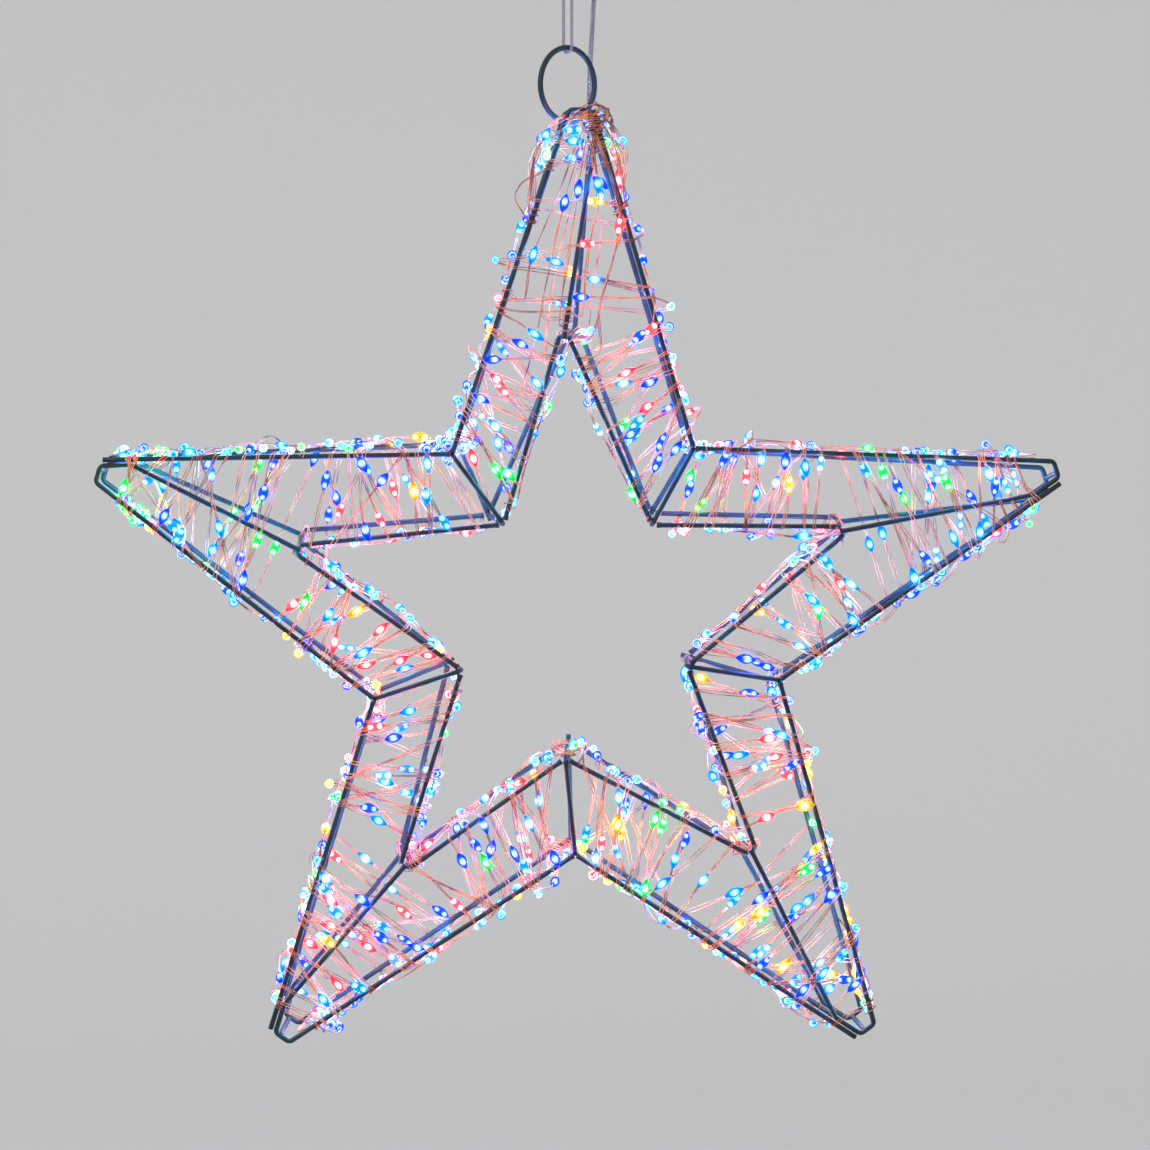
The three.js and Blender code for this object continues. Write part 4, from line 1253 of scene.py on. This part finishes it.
# Beads: a drop of clear resin over a lit diode, pulled to a point along the wires at both ends. The
# diode's light whitens the heart of the drop, and the resin round it glows in the diode's colour. The
# light that a bead throws on the wires and rods is far stronger than the glow that the eye sees in it.
BEAD_SIDES = 12
BEAD_STATIONS = 13
BEAD_POINT = 0.08
BEAD_SIZES = (0.88, 1.12)
BEAD_WIDTHS = (0.85, 1.08)
DROP_SHARPNESS = 0.85
HEART_SHARPNESS = 0.6
HEART_LENGTH = 4.6 * MM
HEART_WIDTH = 2.3 * MM
HEART_WIDTHS = (0.75, 1.15)
HEART_SHIFT = 0.8
HEART_COLOR = (1.0, 1.0, 1.0)
LOBE_SHARE = 0.4
LOBE_APART = 3.7 * MM
LOBE_LENGTH = 3.0 * MM
LOBE_WIDTH = 1.8 * MM
LOBE_WIDTHS = (0.75, 1.1)
RESIN_GLOW = 1.0
HEART_GLOW = 6.0
THROWN_LIGHT = 30.0
# How much of its own glow a reflection of a bead shows: the rest there is the light that it throws.
MIRRORED_SHARE = 0.45
# For each colour: the resin's tint, its glow at the rim and in the middle, and the light it throws.
BEAD_GLOWS = {
    "blue": ((0.02, 0.05, 0.9), (0.0, 0.03, 0.7), (0.0, 0.07, 0.8), (0.05, 0.3, 2.4)),
    "azure": ((0.02, 0.16, 0.9), (0.0, 0.16, 0.6), (0.0, 0.26, 0.7), (0.03, 0.8, 2.5)),
    "white": ((0.08, 0.3, 0.7), (0.01, 0.17, 0.45), (0.12, 0.3, 0.5), (0.7, 0.6, 1.1)),
    "red": ((0.9, 0.08, 0.1), (0.65, 0.03, 0.06), (0.8, 0.1, 0.13), (2.4, 0.2, 0.25)),
    "amber": ((0.9, 0.4, 0.04), (0.65, 0.22, 0.0), (0.75, 0.34, 0.05), (2.2, 0.7, 0.08)),
    "green": ((0.04, 0.7, 0.1), (0.0, 0.4, 0.04), (0.01, 0.55, 0.1), (0.03, 1.4, 0.2)),
}

# How a drop's glow runs from its middle to its points, with the faint streaks of poured resin.
drop_group, drop_in, drop_out = new_group(
    "drop_glow", {"From Middle": "Float", "Middle": "Color", "Rim": "Color"},
    {"Color": "Color", "Roughness": "Float"},
)
streak_place = add_node(drop_group, "TexCoord")
streaks = add_node(drop_group, "TexNoise", Scale=700.0, Detail=1.0)
streak_reach = add_node(drop_group, "MapRange", To_Min=-0.3, To_Max=0.3)
run_out = add_node(drop_group, "Math", operation="ADD")
fade = add_node(drop_group, "MapRange", From_Min=0.15, From_Max=0.8)
glow_mix = add_node(drop_group, "Mix", data_type="RGBA")
smooth_resin = add_node(drop_group, "MapRange", To_Min=0.01, To_Max=0.05)
join(
    drop_group,
    (streak_place, "Object", streaks, "Vector"), (streaks, "Fac", streak_reach, "Value"),
    (drop_in, "From Middle", run_out, 0), (streak_reach, "Result", run_out, 1),
    (run_out, "Value", fade, "Value"), (fade, "Result", glow_mix, "Factor"),
    (drop_in, "Middle", glow_mix, "A"), (drop_in, "Rim", glow_mix, "B"),
    (streaks, "Fac", smooth_resin, "Value"), (glow_mix, "Result", drop_out, "Color"),
    (smooth_resin, "Result", drop_out, "Roughness"),
)


def drop_material(name, middle, rim):
    """A material with a glow that runs from the middle colour to the rim colour."""
    material, tree, surface = new_material(name)
    share = add_node(tree, "Attribute", attribute_name="from_middle")
    glow = add_node(tree, "Group", node_tree=drop_group, Middle=(*middle, 1.0), Rim=(*rim, 1.0))
    join(tree, (share, "Fac", glow, "From Middle"))
    return material, tree, surface, glow


def resin(name, tint, rim, middle, thrown):
    """Clear resin: the camera, and light inside the drop, see its own glow, and all else what it throws."""
    material, tree, surface, glow = drop_material(name, middle, rim)
    ray = add_node(tree, "LightPath")
    inside = add_node(tree, "NewGeometry")
    mirrored = add_node(tree, "Math", operation="MULTIPLY_ADD")
    mirrored.inputs[1].default_value = MIRRORED_SHARE
    seen = add_node(tree, "Math", operation="MAXIMUM")
    own_glow = add_node(tree, "Math", operation="MAXIMUM")
    light = add_node(tree, "Mix", data_type="RGBA", A=(*[value * THROWN_LIGHT for value in thrown], 1.0))
    join(
        tree,
        (ray, "Is Glossy Ray", mirrored, 0), (ray, "Is Transmission Ray", mirrored, 2),
        (ray, "Is Camera Ray", seen, 0), (mirrored, "Value", seen, 1),
        (seen, "Value", own_glow, 0), (inside, "Backfacing", own_glow, 1),
        (own_glow, "Value", light, "Factor"), (glow, "Color", light, "B"),
        (light, "Result", surface, "Emission Color"), (glow, "Roughness", surface, "Roughness"),
    )
    set_values(surface, {
        "Base Color": (*tint, 1.0), "Emission Strength": RESIN_GLOW, "Transmission Weight": 1.0,
        "IOR": 1.12, "Specular IOR Level": 0.12,
    })
    return material


def diode(name, heart, edge):
    material, tree, surface, glow = drop_material(name, heart, edge)
    join(tree, (glow, "Color", surface, "Emission Color"), (glow, "Color", surface, "Base Color"))
    set_values(surface, {"Emission Strength": HEART_GLOW, "Roughness": 0.5})
    return material


def drop(shape, middle, way, length, width, slot, sharpness):
    """Adds a form that is pointed along way at both ends."""
    shares = [station / (BEAD_STATIONS - 1) for station in range(BEAD_STATIONS)]
    points = [middle + way * (share - 0.5) * length for share in shares]
    radii = [max(BEAD_POINT, sin(pi * share) ** sharpness) * width / 2 for share in shares]
    shape.tube(points, radii, BEAD_SIDES, slot, [max(1e-4, abs(2 * share - 1)) for share in shares])


for color in BEAD_COLORS:
    tint, rim, middle_color, thrown = BEAD_GLOWS[color]
    shape = Shape()
    for place, line_way, bead_color in beads:
        if bead_color != color:
            continue
        size = dice.uniform(*BEAD_SIZES)
        width = BEAD_DIAMETER * dice.uniform(*BEAD_WIDTHS)
        drop(shape, place, line_way, BEAD_LENGTH * size, width, 0, DROP_SHARPNESS)
        if dice.random() < LOBE_SHARE:
            for hand in (-1, 1):
                lobe = place + line_way * hand * LOBE_APART / 2
                width = LOBE_WIDTH * dice.uniform(*LOBE_WIDTHS)
                drop(shape, lobe, line_way, LOBE_LENGTH * size, width, 1, HEART_SHARPNESS)
        else:
            heart = place + line_way * dice.uniform(-HEART_SHIFT, HEART_SHIFT) * MM
            width = HEART_WIDTH * dice.uniform(*HEART_WIDTHS)
            drop(shape, heart, line_way, HEART_LENGTH * size, width, 1, HEART_SHARPNESS)
    clear_resin = resin(f"resin_{color}", tint, rim, middle_color, thrown)
    lit = shape.piece(f"beads_{color}", clear_resin, diode(f"diode_{color}", HEART_COLOR, tint))
    belongs(lit, "star", "bead")

# String start: the copper wires leave the splice in a bunch, come round the arm's right side and over
# the tip's front corner, and are wrapped round the two rods there. From the wraps they fan out down
# both edges and run down inside the arm to the limbs.
WRAP_TURNS = 4
WRAP_BUNDLE = 1.2 * MM
WRAP_SPACING = 0.55 * MM
WRAP_END_SHARE = 0.975
WRAP_STEPS = 16
WRAP_STRANDS = 6
WRAP_TWIST = 0.17
WRAP_LOOSENESS = 0.35
WRAP_WANDER = 1.6
WANDER_PACE = 0.31
START_DIAMETER = 0.3 * MM
START_SPACING = 1.6 * MM
BUNCH_STRANDS = 12
BUNCH_STRAY = 0.6
CORNER_STRAY = 1.0
FIRST_STRAY = 0.3
STRAY_GROWTH = 0.35
# Places in mm along the bunch: from the splice round the side, and over the front corner both ways.
BUNCH_WAY = [
    (9.9, 24, -36), (12.2, 23.4, -38.8), (16.8, 17, -40), (18, 6, -37), (17.6, -5, -32.4), (15.5, -13, -26.8),
]
BUNCH_LEFT = [
    (13.2, -18.3, -22.8), (9.2, -20.8, -21.9), (4.9, -21, -23.8), (1, -20.9, -26.8), (-3, -20.4, -29.6),
]
BUNCH_DOWN = [
    (14.3, -18.5, -24), (14.1, -20.8, -27.8), (11.3, -21, -32.8), (9, -20.9, -38.8), (7.8, -20.4, -45.8),
]

edge_foot, edge_end = outer_rod(0, -1, 0)
strut_foot, strut_end = strut_turn(0, 0), tip(0, -strut_start, 0)
wrap_pitch = (WRAP_BUNDLE + WRAP_SPACING) / reach_of(edge_end - edge_foot)
wrap_clear = rod_radius + WELD_GAP + WRAP_BUNDLE / 2
wrap_line = []
for step in range(WRAP_TURNS * WRAP_STEPS + 1):
    turn = step / WRAP_STEPS
    edge_point = along_rod(edge_foot, edge_end, WRAP_END_SHARE - turn * wrap_pitch)
    rise = (edge_point[2] - strut_foot[2]) / (strut_end[2] - strut_foot[2])
    strut_point = along_rod(strut_foot, strut_end, rise)
    across = reach_of(edge_point - strut_point) / 2 + wrap_clear
    angle = 2 * pi * turn
    offset = np.array((across * cos(angle), -wrap_clear * sqrt(2) * sin(angle), 0))
    wrap_line.append((edge_point + strut_point) / 2 + offset)
bare_copper = finished(
    "bare_copper", (1.0, 0.5, 0.34), (0.5, 0.16, 0.1), scales=(500, 4000), roughness=(0.2, 0.35),
    lift=0.00001, Metallic=0.7,
)
# A dark copy of the bare copper, given to half the strands of the wraps and the bunch: painted shade for the
# dark gaps between the strands.
copper_painted_shade_strands = finished(
    "copper_painted_shade_strands", (0.3, 0.08, 0.055), (0.06, 0.015, 0.012), scales=(400, 4000), roughness=(0.3, 0.45),
    lift=0.00001, Metallic=0.5,
)
wrap_frames = cross_frames(wrap_line, WRAP_BUNDLE / 2 - START_DIAMETER / 2)
wrap_shape = Shape()
for strand in range(WRAP_STRANDS):
    wire = []
    phase = dice.uniform(*START_PHASE)
    for i, ring in enumerate(wrap_frames):
        angle = 2 * pi * strand / WRAP_STRANDS + WRAP_TWIST * i
        spread = 1 + WRAP_LOOSENESS * (1 + sin(WANDER_PACE * i + phase) * WRAP_WANDER)
        wire.append(strand_point(ring, angle, spread))
    wrap_shape.tube(wire, START_DIAMETER / 2, WIRE_SIDES, slot=strand % 2)
start_wraps = wrap_shape.piece("start_wrap_wires", bare_copper, copper_painted_shade_strands)
belongs(start_wraps, "star", "copper", "string_start_wraps")


def start_wires(name, way_there, left_strands, ahead, stray):
    """The start's wires through way_there and on to the left or down, each strayed a little at random."""
    shape = Shape()
    for strand in range(BUNCH_STRANDS):
        way_on = BUNCH_LEFT if strand in left_strands else BUNCH_DOWN
        points = []
        for i, point in enumerate(way_there + way_on[:ahead]):
            reach = stray * min(1, FIRST_STRAY + STRAY_GROWTH * i)
            points.append(np.array([value * MM + dice.gauss(0, reach) * MM for value in point]))
        shape.tube(curved(points, START_SPACING), START_DIAMETER / 2, WIRE_SIDES, slot=strand // 2 % 2)
    made = shape.piece(name, bare_copper, copper_painted_shade_strands)
    return made


bunch = start_wires("start_bunch_wires", BUNCH_WAY, range(1, BUNCH_STRANDS, 2), 2, BUNCH_STRAY)
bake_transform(bunch)
corner_wires = start_wires(
    "start_corner_wires", BUNCH_WAY[4:], range(0, BUNCH_STRANDS, 3), len(BUNCH_LEFT), CORNER_STRAY,
)
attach(corner_wires, "star")

# Stage: one sheet of matt grey paper that curves up from the floor behind the star, under a broad
# soft light and an even room light.
PAPER_COLOR = (0.645, 0.645, 0.645, 1.0)
FLOOR_HEIGHT = -0.75
PAPER_BACK = 2.6
PAPER_FRONT = -3.0
PAPER_WIDTH = 8.0
PAPER_BEND = 1.2
PAPER_TOP = 3.0
PAPER_STEPS = 24
ROOM_COLOR = (1.0, 1.0, 1.0, 1.0)
ROOM_STRENGTH = 0.85
LAMP_SIZE = 1.2
LAMP_WATTS = 14
LAMP_PLACE = (-1.0, -1.6, 0.9)
LAMP_AIM = (0, 0, -0.2)

profile = [(PAPER_FRONT, FLOOR_HEIGHT), (PAPER_BACK - PAPER_BEND, FLOOR_HEIGHT)]
for step in range(1, PAPER_STEPS + 1):
    angle = pi / 2 * step / PAPER_STEPS
    height = FLOOR_HEIGHT + PAPER_BEND * (1 - cos(angle))
    profile.append((PAPER_BACK - PAPER_BEND + PAPER_BEND * sin(angle), height))
profile.append((PAPER_BACK, PAPER_TOP))
paper_vertices = [(x, y, z) for y, z in profile for x in (-PAPER_WIDTH / 2, PAPER_WIDTH / 2)]
paper_faces = [(i, i + 1, i + 3, i + 2) for i in range(0, len(paper_vertices) - 2, 2)]
paper_mesh = bpy.data.meshes.new("paper")
paper_mesh.from_pydata(paper_vertices, [], paper_faces)
paper_mesh.shade_smooth()
grey_paper, _, paper_surface = new_material("grey_paper")
set_values(paper_surface, {"Base Color": PAPER_COLOR, "Roughness": 0.9, "Specular IOR Level": 0.1})
paper_mesh.materials.append(grey_paper)
placed("paper", paper_mesh)

world = bpy.data.worlds.new("room")
bpy.context.scene.world = world
world.use_nodes = True
set_values(world.node_tree.nodes["Background"], {"Color": ROOM_COLOR, "Strength": ROOM_STRENGTH})

lamp_data = bpy.data.lights.new("soft_light", "AREA")
lamp_data.shape = "DISK"
lamp_data.size = LAMP_SIZE
lamp_data.energy = LAMP_WATTS
lamp = placed("soft_light", lamp_data)
lamp.location = LAMP_PLACE
lamp.rotation_euler = (Vector(LAMP_AIM) - lamp.location).to_track_quat("-Z", "Y").to_euler()
